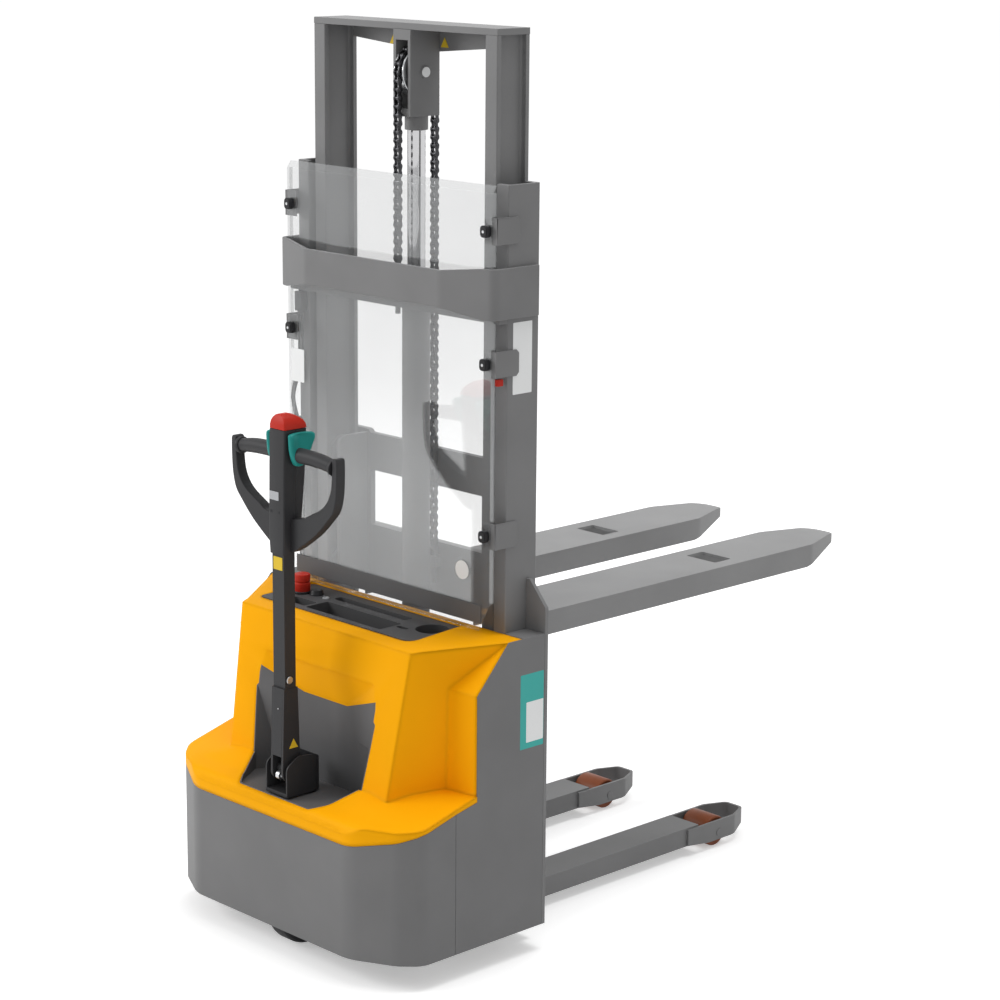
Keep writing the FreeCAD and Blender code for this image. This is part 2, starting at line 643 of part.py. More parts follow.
def shield():
    rear_y = SHIELD_FRONT_Y + SHIELD_SHEET
    sheet = prism("xz", [
        (-SHIELD_CUT_HALF, SHIELD_LOW_Z), (SHIELD_CUT_HALF, SHIELD_LOW_Z),
        (SHIELD_HALF_WIDTH, SHIELD_CUT_Z), (SHIELD_HALF_WIDTH, SHIELD_TOP_Z),
        (-SHIELD_HALF_WIDTH, SHIELD_TOP_Z), (-SHIELD_HALF_WIDTH, SHIELD_CUT_Z)],
        SHIELD_FRONT_Y, rear_y)
    top_fold = prism("yz", [
        (SHIELD_FRONT_Y, SHIELD_TOP_Z), (rear_y, SHIELD_TOP_Z),
        (rear_y + 11, SHIELD_TOP_Z + 16), (SHIELD_FRONT_Y + 11, SHIELD_TOP_Z + 16)],
        -SHIELD_HALF_WIDTH, SHIELD_HALF_WIDTH)
    side_fold = block(SHIELD_HALF_WIDTH - SHIELD_SHEET, SHIELD_HALF_WIDTH, rear_y, rear_y + SHIELD_FOLD,
                      SHIELD_CUT_Z, SHIELD_TOP_Z)
    whole = join([sheet, top_fold, side_fold, mirrored(side_fold)])
    for z in KNOB_ROWS_Z:
        for side in (1, -1):
            hole = rod((side * KNOB_X, SHIELD_FRONT_Y - 1, z), (side * KNOB_X, rear_y + 1, z), 5)
            whole = whole.cut(hole)
            notch = block(SHIELD_HALF_WIDTH - SHIELD_SHEET - 1, SHIELD_HALF_WIDTH + 1, rear_y, rear_y + SHIELD_FOLD + 1,
                          z - CLIP_HEIGHT / 2 - 2, z + CLIP_HEIGHT / 2 + 2)
            whole = whole.cut(sided(notch, side))
    return whole


def shield_clips():
    """Angle clips on one upright, each with the bolt and knob that hold the shield."""
    rear_y = SHIELD_FRONT_Y + SHIELD_SHEET
    clips = []
    for z in KNOB_ROWS_Z:
        low, high = z - CLIP_HEIGHT / 2, z + CLIP_HEIGHT / 2
        plate = block(KNOB_X - 14, MAST_HALF_WIDTH + CLIP_PLATE, rear_y, rear_y + CLIP_PLATE, low, high)
        leg = block(MAST_HALF_WIDTH, MAST_HALF_WIDTH + CLIP_PLATE, rear_y, MAST_FRONT_Y + 34, low, high)
        bolt = rod((KNOB_X, SHIELD_FRONT_Y - 2, z), (KNOB_X, rear_y + 1, z), 4.7)
        knob = rod((KNOB_X, SHIELD_FRONT_Y - KNOB_LENGTH, z), (KNOB_X, SHIELD_FRONT_Y, z), KNOB_RADIUS)
        clips.append(join([plate, leg, bolt, knob]))
    return Part.makeCompound(clips)


def lift_barrel():
    top = BARREL_TOP_Z
    tube = ring((0, RAM_Y, FOOT_TOP_Z), (0, RAM_Y, top), BARREL_RADIUS, BARREL_BORE)
    floor = rod((0, RAM_Y, FOOT_TOP_Z), (0, RAM_Y, FOOT_TOP_Z + 24), BARREL_RADIUS)
    gland = ring((0, RAM_Y, top - 60), (0, RAM_Y, top), BARREL_RADIUS, ROD_RADIUS + FIT_GAP)
    return join([tube, floor, gland])


# Support arms

def support_arm():
    front_y = MAST_FRONT_Y + MAST_DEPTH
    half = ARM_WIDTH / 2
    arm = block(-half, half, front_y, ARM_END_Y, ARM_LOW_Z, ARM_TOP_Z)
    under = block(-half + ARM_WALL, half - ARM_WALL, front_y + ARM_WALL, ARM_END_Y - ARM_WALL, ARM_LOW_Z - 1,
                  ARM_TOP_Z - ARM_WALL)
    arm = arm.cut(under)
    band = []
    for inset in (0, BRACKET_PLATE):
        wide = BRACKET_WIDTH / 2 - inset
        tip = BRACKET_TIP_WIDTH / 2 - inset * 0.5
        rear = BRACKET_REAR_Y - (1 if inset else 0)
        band.append(prism("xy", [
            (-wide, rear), (-wide, BRACKET_TAPER_Y, 20), (-tip, BRACKET_TIP_Y - inset, 16),
            (tip, BRACKET_TIP_Y - inset, 16), (wide, BRACKET_TAPER_Y, 20), (wide, rear)],
            BRACKET_LOW_Z - inset, BRACKET_TOP_Z + inset))
    bracket = band[0].cut(band[1])
    side_view = prism("yz", [
        (BRACKET_REAR_Y, BRACKET_LOW_Z + 10), (ROLLER_Y - 40, BRACKET_LOW_Z), (BRACKET_TAPER_Y - 10, BRACKET_LOW_Z),
        (BRACKET_TIP_Y, BRACKET_LOW_Z + 12), (BRACKET_TIP_Y, BRACKET_TOP_Z), (BRACKET_REAR_Y, BRACKET_TOP_Z)],
        -BRACKET_WIDTH, BRACKET_WIDTH)
    bracket = bracket.common(side_view)
    pin_end = BRACKET_WIDTH / 2 + 2
    pin = rod((-pin_end, ROLLER_Y, ROLLER_RADIUS), (pin_end, ROLLER_Y, ROLLER_RADIUS), ROLLER_PIN_RADIUS)
    whole = join([arm, bracket, pin])
    whole.translate(V(FORK_CENTRE_X, 0, 0))
    return whole


def load_roller():
    half = ROLLER_WIDTH / 2
    profile = [(ROLLER_PIN_RADIUS + FIT_GAP, -half), (ROLLER_RADIUS - 3, -half), (ROLLER_RADIUS, -half + 4),
               (ROLLER_RADIUS, half - 4), (ROLLER_RADIUS - 3, half), (ROLLER_PIN_RADIUS + FIT_GAP, half)]
    return wheel(profile, FORK_CENTRE_X, ROLLER_Y, ROLLER_RADIUS)


def wheel(profile, x, y, z):
    """A wheel turned about the X direction from (radius, distance along the axle) corners."""
    points = [V(along, radius, 0) for radius, along in profile]
    face = Part.Face(Part.makePolygon(points + [points[0]]))
    turned = face.revolve(V(0, 0, 0), V(1, 0, 0), 360)
    turned.translate(V(x, y, z))
    return turned


# Lift switch on the left upright

def lift_switch():
    x = -MAST_HALF_WIDTH
    body = block(x + 2, x + 34, MAST_FRONT_Y - 20, MAST_FRONT_Y, 1414, 1474)
    arm = block(x + 10, x + 24, MAST_FRONT_Y - 14, MAST_FRONT_Y - 4, 1474, 1479)
    return join([body, arm])


def switch_cables():
    top = 1414.0
    runs = []
    for x in (-349.0, -337.0):
        y = MAST_FRONT_Y - 12
        runs.append(rod((x, y, COVER_TOP_Z), (x, y, top), 3))
    return Part.makeCompound(runs)


# Chain

def chain_strand(y, low, high):
    """Side plates and rollers of one straight strand, joined as one bar of links."""
    return block(-CHAIN_HALF_WIDTH, CHAIN_HALF_WIDTH, y - CHAIN_HALF_DEPTH, y + CHAIN_HALF_DEPTH, low, high)


def chain_wrap():
    centre_low, centre_high = (-CHAIN_HALF_WIDTH, RAM_Y, PULLEY_Z), (CHAIN_HALF_WIDTH, RAM_Y, PULLEY_Z)
    loop = ring(centre_low, centre_high, PULLEY_PITCH_RADIUS + CHAIN_HALF_DEPTH, PULLEY_PITCH_RADIUS - CHAIN_HALF_DEPTH)
    upper = block(-20, 20, RAM_Y - 100, RAM_Y + 100, PULLEY_Z, PULLEY_Z + 100)
    return loop.common(upper)


# Inner mast

def inner_upright():
    inner_x = INNER_HALF_WIDTH - INNER_FLANGE
    rear_y = INNER_FRONT_Y + INNER_DEPTH
    web_in = inner_x + (INNER_FLANGE - INNER_WEB) / 2
    web_out = web_in + INNER_WEB
    front_in = INNER_FRONT_Y + INNER_FLANGE_PLATE
    rear_in = rear_y - INNER_FLANGE_PLATE
    top = INNER_TOP_Z - TOP_PLATE
    beam = prism("xy", [
        (inner_x, INNER_FRONT_Y, 3), (INNER_HALF_WIDTH, INNER_FRONT_Y, 3), (INNER_HALF_WIDTH, front_in),
        (web_out, front_in, 6), (web_out, rear_in, 6), (INNER_HALF_WIDTH, rear_in),
        (INNER_HALF_WIDTH, rear_y, 3), (inner_x, rear_y, 3), (inner_x, rear_in),
        (web_in, rear_in, 6), (web_in, front_in, 6), (inner_x, front_in)], INNER_BOTTOM_Z, top)
    roller_y = MAST_FRONT_Y + MAST_DEPTH / 2
    roller_z = INNER_BOTTOM_Z + 45
    outer_x = MAST_HALF_WIDTH - MAST_WEB - ROLLER_SIDE_GAP
    radius = MAST_DEPTH / 2 - MAST_FLANGE_PLATE - ROLLER_PLAY
    shaft = rod((web_out, roller_y, roller_z), (MAST_HALF_WIDTH - MAST_FLANGE + 2, roller_y, roller_z), 15)
    roller = rod((MAST_HALF_WIDTH - MAST_FLANGE + 2, roller_y, roller_z), (outer_x, roller_y, roller_z), radius)
    return join([beam, shaft, roller])


def inner_top_beam():
    rear_y = INNER_FRONT_Y + INNER_DEPTH
    low = INNER_TOP_Z - TOP_PLATE
    plate = block(-INNER_HALF_WIDTH, INNER_HALF_WIDTH, INNER_FRONT_Y, rear_y, low, INNER_TOP_Z)
    inner_x = INNER_HALF_WIDTH - INNER_FLANGE
    web_front = RAM_Y + HEAD_HALF_DEPTH + 0.5
    web = prism("xz", [
        (-inner_x, low), (-inner_x, TOP_WEB_END_Z), (-HEAD_HALF_WIDTH, TOP_WEB_MID_Z), (HEAD_HALF_WIDTH, TOP_WEB_MID_Z),
        (inner_x, TOP_WEB_END_Z), (inner_x, low)], web_front, web_front + TOP_WEB_PLATE)
    slot = block(-CHAIN_HALF_WIDTH - 8, CHAIN_HALF_WIDTH + 8, web_front - 1, web_front + TOP_WEB_PLATE + 1,
                 TOP_WEB_MID_Z - 1, TOP_WEB_MID_Z + 26)
    return join([plate, web.cut(slot)])


def inner_lower_cross():
    inner_x = INNER_HALF_WIDTH - INNER_FLANGE
    return block(-inner_x, inner_x, INNER_FRONT_Y - 2, INNER_FRONT_Y + 4, INNER_BOTTOM_Z + 6, INNER_BOTTOM_Z + 106)


def pulley_head():
    top = INNER_TOP_Z - TOP_PLATE
    front = RAM_Y - HEAD_HALF_DEPTH
    rear = RAM_Y + HEAD_HALF_DEPTH
    body = block(-HEAD_HALF_WIDTH, HEAD_HALF_WIDTH, front, rear, HEAD_BOTTOM_Z, top)
    window = block(-HEAD_HALF_WIDTH + HEAD_WALL, HEAD_HALF_WIDTH - HEAD_WALL, front - 1, rear + 1,
                   HEAD_BOTTOM_Z + 18, PULLEY_Z + PULLEY_PITCH_RADIUS + CHAIN_HALF_DEPTH + 8)
    pin_end = HEAD_HALF_WIDTH + 3
    pin = rod((-pin_end, RAM_Y, PULLEY_Z), (pin_end, RAM_Y, PULLEY_Z), PULLEY_PIN_RADIUS)
    collar = rod((0, RAM_Y, HEAD_BOTTOM_Z - COLLAR_LENGTH), (0, RAM_Y, HEAD_BOTTOM_Z), COLLAR_RADIUS)
    return join([body.cut(window), pin, collar])


def piston_rod():
    top = HEAD_BOTTOM_Z - COLLAR_LENGTH
    shaft = rod((0, RAM_Y, ROD_BOTTOM_Z), (0, RAM_Y, top), ROD_RADIUS)
    piston = rod((0, RAM_Y, ROD_BOTTOM_Z), (0, RAM_Y, ROD_BOTTOM_Z + 30), BARREL_BORE - FIT_GAP)
    return join([shaft, piston])


def chain_pulley():
    groove = PULLEY_PITCH_RADIUS - CHAIN_HALF_DEPTH - SEAT_GAP
    bore = PULLEY_PIN_RADIUS + FIT_GAP
    half = PULLEY_HALF_WIDTH
    lip = CHAIN_HALF_WIDTH + 1
    profile = [(bore, -half), (PULLEY_FLANGE_RADIUS, -half), (PULLEY_FLANGE_RADIUS, -lip - 2), (groove, -lip),
               (groove, lip), (PULLEY_FLANGE_RADIUS, lip + 2), (PULLEY_FLANGE_RADIUS, half), (bore, half)]
    return wheel(profile, 0, RAM_Y, PULLEY_Z)


# Carriage

def carriage_frame():
    front = CARRIAGE_FRONT_Y
    rear = front + CARRIAGE_PLATE
    half = CARRIAGE_HALF_WIDTH
    pieces = [
        block(-half, half, front, rear, LOWER_CROSS_LOW_Z, LOWER_CROSS_HIGH_Z),
        block(-half, half, front, rear - 5, UPPER_CROSS_LOW_Z, UPPER_CROSS_HIGH_Z),
    ]
    inner_x = INNER_HALF_WIDTH - INNER_FLANGE
    web_in = inner_x + (INNER_FLANGE - INNER_WEB) / 2
    cheek_x = inner_x - 22
    centre_y = INNER_FRONT_Y + INNER_DEPTH / 2
    radius = INNER_DEPTH / 2 - INNER_FLANGE_PLATE - ROLLER_PLAY
    cheek_low, cheek_high = LOWER_CROSS_LOW_Z + 8, CARRIAGE_TOP_Z - 8
    for side in (1, -1):
        post = prism("xz", [(half - CARRIAGE_POST, LOWER_CROSS_LOW_Z), (half, LOWER_CROSS_LOW_Z),
                            (half, CARRIAGE_TOP_Z, 14), (half - CARRIAGE_POST, CARRIAGE_TOP_Z, 14)], front, rear - 5)
        cheek = prism("yz", [(front, cheek_low), (centre_y - 30, cheek_low, 20), (centre_y - 30, cheek_high, 20),
                             (front, cheek_high)], cheek_x, cheek_x + CHEEK_PLATE)
        rollers = []
        for z in (cheek_low + 40, cheek_high - 40):
            start = (cheek_x, centre_y, z)
            rollers.append(rod(start, (inner_x + 1, centre_y, z), 15))
            rollers.append(rod((inner_x, centre_y, z), (web_in - ROLLER_SIDE_GAP, centre_y, z), radius))
        pieces += [sided(piece, side) for piece in [post, cheek] + rollers]
    chain_y = RAM_Y + PULLEY_PITCH_RADIUS
    pieces.append(block(-14, 14, chain_y - CHAIN_HALF_DEPTH, front, REAR_ANCHOR_Z - 28, REAR_ANCHOR_Z))
    pieces.append(rod((0, chain_y, REAR_ANCHOR_Z - 68), (0, chain_y, REAR_ANCHOR_Z - 28), 6))
    return join(pieces)


def fork():
    half = FORK_WIDTH / 2
    top = FORK_TOP_Z
    low = top - FORK_DEPTH
    heel = CARRIAGE_FRONT_Y + CARRIAGE_PLATE
    tip_half = 34.0
    plan = [(-half, heel), (half, heel), (half, FORK_TAPER_Y, 60), (tip_half, FORK_TIP_Y, 30),
            (-tip_half, FORK_TIP_Y, 30), (-half, FORK_TAPER_Y, 60)]
    blade = prism("xy", plan, low, top)
    side_view = prism("yz", [
        (heel, low), (FORK_TAPER_Y - 20, low), (FORK_TIP_Y, top - FORK_TIP_THICK), (FORK_TIP_Y, top - 6),
        (FORK_TIP_Y - 40, top), (heel, top)], -FORK_WIDTH, FORK_WIDTH)
    blade = blade.common(side_view)
    hollow = block(-half + FORK_WALL, half - FORK_WALL, heel - 1, FORK_TAPER_Y - 30, low - 1, top - FORK_WALL)
    hole = prism("xy", [
        (-FORK_HOLE_WIDTH / 2, FORK_HOLE_Y, 6), (FORK_HOLE_WIDTH / 2, FORK_HOLE_Y, 6),
        (FORK_HOLE_WIDTH / 2, FORK_HOLE_Y + FORK_HOLE_LENGTH, 6),
        (-FORK_HOLE_WIDTH / 2, FORK_HOLE_Y + FORK_HOLE_LENGTH, 6)], low, top + 1)
    shank = prism("yz", [
        (heel, top - 4), (FORK_HEEL_Y + 24, top - 4), (FORK_HEEL_Y, top + 26, 20), (FORK_HEEL_Y - 16, LOWER_CROSS_HIGH_Z - 6),
        (heel, LOWER_CROSS_HIGH_Z - 6)], -half + 12, half - 12)
    whole = join([blade.cut(hollow).cut(hole), shank])
    whole.translate(V(FORK_CENTRE_X, 0, 0))
    return whole


# Steering and drive

def steer_hinge():
    """The rounded housing on the steering shaft, with the lug that carries the tiller."""
    shoulder = DOME_TOP_Z - 34
    dome_face = Part.Face(outline("xz", [
        (0, DOME_BOTTOM_Z), (DOME_RADIUS - 3, DOME_BOTTOM_Z), (DOME_RADIUS, DOME_BOTTOM_Z + 8),
        (DOME_RADIUS - 2, shoulder, 30), (22, DOME_TOP_Z, 26), (0, DOME_TOP_Z)]))
    dome = dome_face.revolve(V(0, 0, 0), V(0, 0, 1), 360)
    dome.translate(V(0, STEER_Y, 0))
    clear = SLEEVE_HALF_DEPTH + 5
    dome = dome.cut(block(-DOME_RADIUS - 1, DOME_RADIUS + 1, STEER_Y - DOME_RADIUS - 5, TILT_Y + clear,
                          DOME_BOTTOM_Z + 12, DOME_TOP_Z + 5))
    lug = prism("yz", [(STEER_Y, TILT_Z - 18), (TILT_Y - 14, TILT_Z - 14, 13), (TILT_Y - 14, TILT_Z + 14, 13),
                       (STEER_Y, TILT_Z + 18)], -LUG_HALF_WIDTH, LUG_HALF_WIDTH)
    bore = rod((-40, TILT_Y, TILT_Z), (40, TILT_Y, TILT_Z), TILT_BOLT_RADIUS + FIT_GAP)
    neck = rod((0, STEER_Y, DECK_Z + DECK_PLATE + SEAT_GAP + DRIVE_FLANGE), (0, STEER_Y, DOME_BOTTOM_Z + 4),
               STEER_SHAFT_RADIUS)
    return join([dome, lug.cut(bore), neck])


def drive_unit():
    """Slewing ring, motor and gear leg that hang the drive wheel from the deck."""
    deck_top = DECK_Z + DECK_PLATE
    axis = (0, STEER_Y)
    upper = rod(axis + (deck_top + SEAT_GAP,), axis + (deck_top + SEAT_GAP + DRIVE_FLANGE,), DRIVE_FLANGE_RADIUS)
    neck = rod(axis + (DECK_Z - SEAT_GAP,), axis + (deck_top + SEAT_GAP,), DRIVE_NECK_RADIUS)
    lower = rod(axis + (DECK_Z - SEAT_GAP - DRIVE_FLANGE,), axis + (DECK_Z - SEAT_GAP,), DRIVE_FLANGE_RADIUS)
    motor_low = 2 * DRIVE_RADIUS + 10
    motor = rod(axis + (motor_low,), axis + (DECK_Z - SEAT_GAP - DRIVE_FLANGE,), MOTOR_RADIUS)
    leg_x = DRIVE_WIDTH / 2 + 5
    leg = prism("yz", [
        (STEER_Y - 46, motor_low + 30), (STEER_Y - 46, DRIVE_RADIUS, 20), (STEER_Y - 24, DRIVE_RADIUS - 44, 22),
        (STEER_Y + 24, DRIVE_RADIUS - 44, 22), (STEER_Y + 46, DRIVE_RADIUS, 20), (STEER_Y + 46, motor_low + 30)],
        leg_x, leg_x + 24)
    axle = rod((-DRIVE_WIDTH / 2, STEER_Y, DRIVE_RADIUS), (leg_x, STEER_Y, DRIVE_RADIUS), DRIVE_AXLE_RADIUS)
    cap = rod((-DRIVE_WIDTH / 2 - 8, STEER_Y, DRIVE_RADIUS), (-DRIVE_WIDTH / 2 - SEAT_GAP, STEER_Y, DRIVE_RADIUS), 24)
    tip = rod((-DRIVE_WIDTH / 2 - 4, STEER_Y, DRIVE_RADIUS), (-DRIVE_WIDTH / 2, STEER_Y, DRIVE_RADIUS),
              DRIVE_AXLE_RADIUS)
    return join([upper, neck, lower, motor, leg, axle, cap, tip])


def drive_wheel():
    half = DRIVE_WIDTH / 2
    bore = DRIVE_AXLE_RADIUS + FIT_GAP
    profile = [(bore, -half), (38, -half), (46, -half + 8), (70, -half + 8), (74, -half), (DRIVE_RADIUS - 4, -half),
               (DRIVE_RADIUS, -half + 6), (DRIVE_RADIUS, half - 6), (DRIVE_RADIUS - 4, half), (74, half),
               (70, half - 8), (46, half - 8), (38, half), (bore, half)]
    return wheel(profile, 0, STEER_Y, DRIVE_RADIUS)


# Tiller

def tiller_stalk():
    depth = SLEEVE_HALF_DEPTH
    low = TILT_Z - depth
    front, rear = TILT_Y - depth, TILT_Y + depth
    sleeve = prism("yz", [(front, low, depth - 2), (rear, low, depth - 2), (rear, SLEEVE_TOP_Z), (front, SLEEVE_TOP_Z)],
                   -STALK_HALF_WIDTH, STALK_HALF_WIDTH)
    inner_half = STALK_HALF_WIDTH - SLEEVE_WALL
    hollow = block(-inner_half, inner_half, front + SLEEVE_WALL, rear - SLEEVE_WALL, low - 1, TILT_Z + 90)
    rear_slot = block(-inner_half, inner_half, TILT_Y, rear + 1, low - 1, DOME_TOP_Z + 8)
    front_slot = block(-inner_half, inner_half, front - 1, TILT_Y, low - 1, TILT_Z + 28)
    sleeve = sleeve.cut(hollow).cut(rear_slot).cut(front_slot)
    bolt = rod((-STALK_HALF_WIDTH - 4, TILT_Y, TILT_Z), (STALK_HALF_WIDTH + 4, TILT_Y, TILT_Z), TILT_BOLT_RADIUS)
    stalk = block(-STALK_HALF_WIDTH + 2, STALK_HALF_WIDTH - 2, TILT_Y - STALK_HALF_DEPTH, TILT_Y + STALK_HALF_DEPTH,
                  SLEEVE_TOP_Z, HEAD_LOW_Z)
    return join([sleeve, bolt, stalk])


def tiller_head():
    section_low = [(HEAD_FRONT_Y + 6, HEAD_LOW_Z), (HEAD_REAR_Y - 8, HEAD_LOW_Z)]
    section_high = [(HEAD_REAR_Y + 2, HEAD_HIGH_Z, 6), (HEAD_FRONT_Y, HEAD_HIGH_Z, 6)]
    body = prism("yz", section_low + section_high, -HEAD_HALF_X, HEAD_HALF_X)
    pieces = [body]
    for side in (1, -1):
        loop = bent_tube([
            (side * 8, LOOP_Y, HEAD_LOW_Z + 20), (side * 190, LOOP_Y, 1074), (side * 222, LOOP_Y, 1196)],
            LOOP_RADIUS, 60)
        grip = bent_tube([
            (side * 224, LOOP_Y, 1182), (side * 120, LOOP_Y, 1192), (side * 20, LOOP_Y, 1168)], GRIP_RADIUS, 120)
        pieces += [loop, grip]
    return join(pieces)


def tiller_button():
    return prism("xz", [(-HEAD_HALF_X, HEAD_HIGH_Z), (HEAD_HALF_X, HEAD_HIGH_Z), (HEAD_HALF_X, BUTTON_TOP_Z - 16, 8),
                        (0, BUTTON_TOP_Z, 40), (-HEAD_HALF_X, BUTTON_TOP_Z - 16, 8)], HEAD_FRONT_Y + 2, HEAD_REAR_Y)


def tiller_controls():
    wing = prism("yz", [(LOOP_Y - 22, 1142, 10), (LOOP_Y + 18, 1142, 10), (LOOP_Y + 34, 1228, 8), (LOOP_Y, 1206, 20),
                        (LOOP_Y - 26, 1228, 8)], HEAD_HALF_X, HEAD_HALF_X + 16)
    hole = rod((0, LOOP_Y, 1170), (100, LOOP_Y, 1180), GRIP_RADIUS + 3)
    return both(wing.cut(hole))


# Castors

def castor_fork():
    """Swivelling fork that trails behind its stem, towards the forks."""
    half = CASTOR_WIDTH / 2 + 3
    top = SHELF_Z - SEAT_GAP
    axle_y = CASTOR_Y + CASTOR_TRAIL
    crown_low = 2 * CASTOR_RADIUS + 6
    crown = prism("xy", [(-half - CASTOR_FORK_PLATE, -34, 10), (half + CASTOR_FORK_PLATE, -34, 10),
                         (half + CASTOR_FORK_PLATE, 30), (-half - CASTOR_FORK_PLATE, 30)], crown_low, crown_low + 5)
    crown.translate(V(0, CASTOR_Y, 0))
    cheek = prism("yz", [(CASTOR_Y - 24, crown_low + 5), (axle_y - 14, CASTOR_RADIUS - 14, 12),
                         (axle_y + 14, CASTOR_RADIUS - 14, 12), (CASTOR_Y + 30, crown_low + 5)], half, half + CASTOR_FORK_PLATE)
    race = rod((0, CASTOR_Y, crown_low + 5), (0, CASTOR_Y, top), CASTOR_NECK_RADIUS)
    stem = rod((0, CASTOR_Y, top), (0, CASTOR_Y, SHELF_Z + SHELF_PLATE + 8), CASTOR_STEM_RADIUS)
    nut = rod((0, CASTOR_Y, SHELF_Z + SHELF_PLATE + SEAT_GAP), (0, CASTOR_Y, SHELF_Z + SHELF_PLATE + 12), 20)
    axle = rod((-half - CASTOR_FORK_PLATE - 4, axle_y, CASTOR_RADIUS), (half + CASTOR_FORK_PLATE + 4, axle_y, CASTOR_RADIUS),
               CASTOR_AXLE_RADIUS)
    whole = join([crown, cheek, mirrored(cheek), race, stem, nut, axle])
    whole.translate(V(CASTOR_X, 0, 0))
    return whole


def castor_wheel():
    half = CASTOR_WIDTH / 2
    bore = CASTOR_AXLE_RADIUS + FIT_GAP
    profile = [(bore, -half), (20, -half), (24, -half + 8), (44, -half + 8), (48, -half + 2), (CASTOR_RADIUS - 5, -half + 2),
               (CASTOR_RADIUS, -half + 8), (CASTOR_RADIUS, half - 8), (CASTOR_RADIUS - 5, half - 2), (48, half - 2),
               (44, half - 8), (24, half - 8), (20, half), (bore, half)]
    return wheel(profile, CASTOR_X, CASTOR_Y + CASTOR_TRAIL, CASTOR_RADIUS)


PAIRS = {
    "side_panel": side_panel,
    "outer_upright": outer_upright,
    "mast_bracket": mast_bracket,
    "shield_clips": shield_clips,
    "support_arm": support_arm,
    "load_roller": load_roller,
    "inner_upright": inner_upright,
    "fork": fork,
    "castor_fork": castor_fork,
    "castor_wheel": castor_wheel,
}

SINGLES = {
    "front_skirt": front_skirt,
    "cover": cover,
    "niche_liner": niche_liner,
    "top_tray": top_tray,
    "emergency_stop": emergency_stop,
    "key_switch": key_switch,
    "chassis_frame": chassis_frame,
    "battery_block": battery_block,
    "hydraulic_unit": hydraulic_unit,
    "mast_foot": mast_foot,
    "cross_bar": cross_bar,
    "mast_tie": mast_tie,
    "shield": shield,
    "lift_barrel": lift_barrel,
    "lift_switch": lift_switch,
    "switch_cables": switch_cables,
    "chain_wrap": chain_wrap,
    "inner_top_beam": inner_top_beam,
    "inner_lower_cross": inner_lower_cross,
    "pulley_head": pulley_head,
    "piston_rod": piston_rod,
    "chain_pulley": chain_pulley,
    "carriage_frame": carriage_frame,
    "steer_hinge": steer_hinge,
    "drive_unit": drive_unit,
    "drive_wheel": drive_wheel,
    "tiller_stalk": tiller_stalk,
    "tiller_head": tiller_head,
    "tiller_button": tiller_button,
    "tiller_controls": tiller_controls,
}


os.makedirs("parts", exist_ok=True)
for name, make in PAIRS.items():
    shape = make()
    for side_name, side in SIDES:
        save(name + "_" + side_name, sided(shape, side))
for name, make in SINGLES.items():
    save(name, make())
save("chain_front", chain_strand(RAM_Y - PULLEY_PITCH_RADIUS, FRONT_ANCHOR_Z, PULLEY_Z))
save("chain_rear", chain_strand(RAM_Y + PULLEY_PITCH_RADIUS, REAR_ANCHOR_Z, PULLEY_Z))
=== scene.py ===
import json
import math

import bmesh
import bpy
from mathutils import Matrix, Vector


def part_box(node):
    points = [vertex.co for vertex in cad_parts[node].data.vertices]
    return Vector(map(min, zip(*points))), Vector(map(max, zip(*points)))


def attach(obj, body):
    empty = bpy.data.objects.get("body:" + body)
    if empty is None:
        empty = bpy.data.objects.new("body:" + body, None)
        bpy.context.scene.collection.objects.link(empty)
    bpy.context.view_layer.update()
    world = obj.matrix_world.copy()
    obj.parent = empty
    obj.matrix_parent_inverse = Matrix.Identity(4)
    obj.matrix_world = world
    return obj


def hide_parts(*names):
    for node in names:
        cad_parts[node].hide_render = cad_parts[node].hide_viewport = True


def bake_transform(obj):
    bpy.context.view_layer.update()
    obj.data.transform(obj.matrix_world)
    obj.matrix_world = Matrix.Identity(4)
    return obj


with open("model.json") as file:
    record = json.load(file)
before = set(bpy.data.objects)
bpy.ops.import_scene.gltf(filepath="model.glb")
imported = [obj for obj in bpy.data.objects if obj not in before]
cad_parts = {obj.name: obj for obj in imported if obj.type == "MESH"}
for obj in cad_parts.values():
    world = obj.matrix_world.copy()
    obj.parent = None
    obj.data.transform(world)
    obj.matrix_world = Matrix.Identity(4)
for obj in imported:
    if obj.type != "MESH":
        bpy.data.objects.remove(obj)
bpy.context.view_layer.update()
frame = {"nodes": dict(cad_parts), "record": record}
nodes = frame["nodes"]

# A walk-behind electric stacker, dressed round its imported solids. Metres throughout.

# Camera, solved from the photograph
CAMERA_AZIMUTH = math.radians(46.04)
CAMERA_ELEVATION = math.radians(13.08)
CAMERA_ROLL = math.radians(0.48)
CAMERA_PLACE = Vector((4.600, -4.573, 2.450))
CAMERA_LENS = 96.88
SENSOR = 36.0

# Colours, as linear red, green and blue
PAINT_GREY = (0.172, 0.172, 0.174)
MAST_GREY = (0.195, 0.195, 0.197)
# a lighter copy of the mast grey for the forks: painted light, standing in for the stronger light on their
# tops and sides
FORK_PAINTED_LIGHT_GREY = (0.250, 0.250, 0.252)
YELLOW = (0.98, 0.430, 0.002)
DARK_GREY = (0.030, 0.030, 0.032)
LINER_GREY = (0.115, 0.115, 0.118)
TRAY_GREY = (0.072, 0.072, 0.074)
BLACK = (0.016, 0.016, 0.018)
RED = (0.50, 0.026, 0.014)
TEAL = (0.016, 0.250, 0.225)
BROWN = (0.225, 0.060, 0.020)
ZINC = (0.56, 0.57, 0.58)
CHROME = (0.60, 0.60, 0.61)
CHAIN_GREY = (0.060, 0.060, 0.064)
CABLE_GREY = (0.022, 0.022, 0.024)
TYRE_GREY = (0.028, 0.028, 0.030)
UNIT_GREY = (0.045, 0.045, 0.048)
DISPLAY_GREY = (0.42, 0.43, 0.45)
SIGN_YELLOW = (0.75, 0.52, 0.03)
SIGN_WHITE = (0.86, 0.87, 0.87)
LABEL_TEAL = (0.05, 0.42, 0.38)
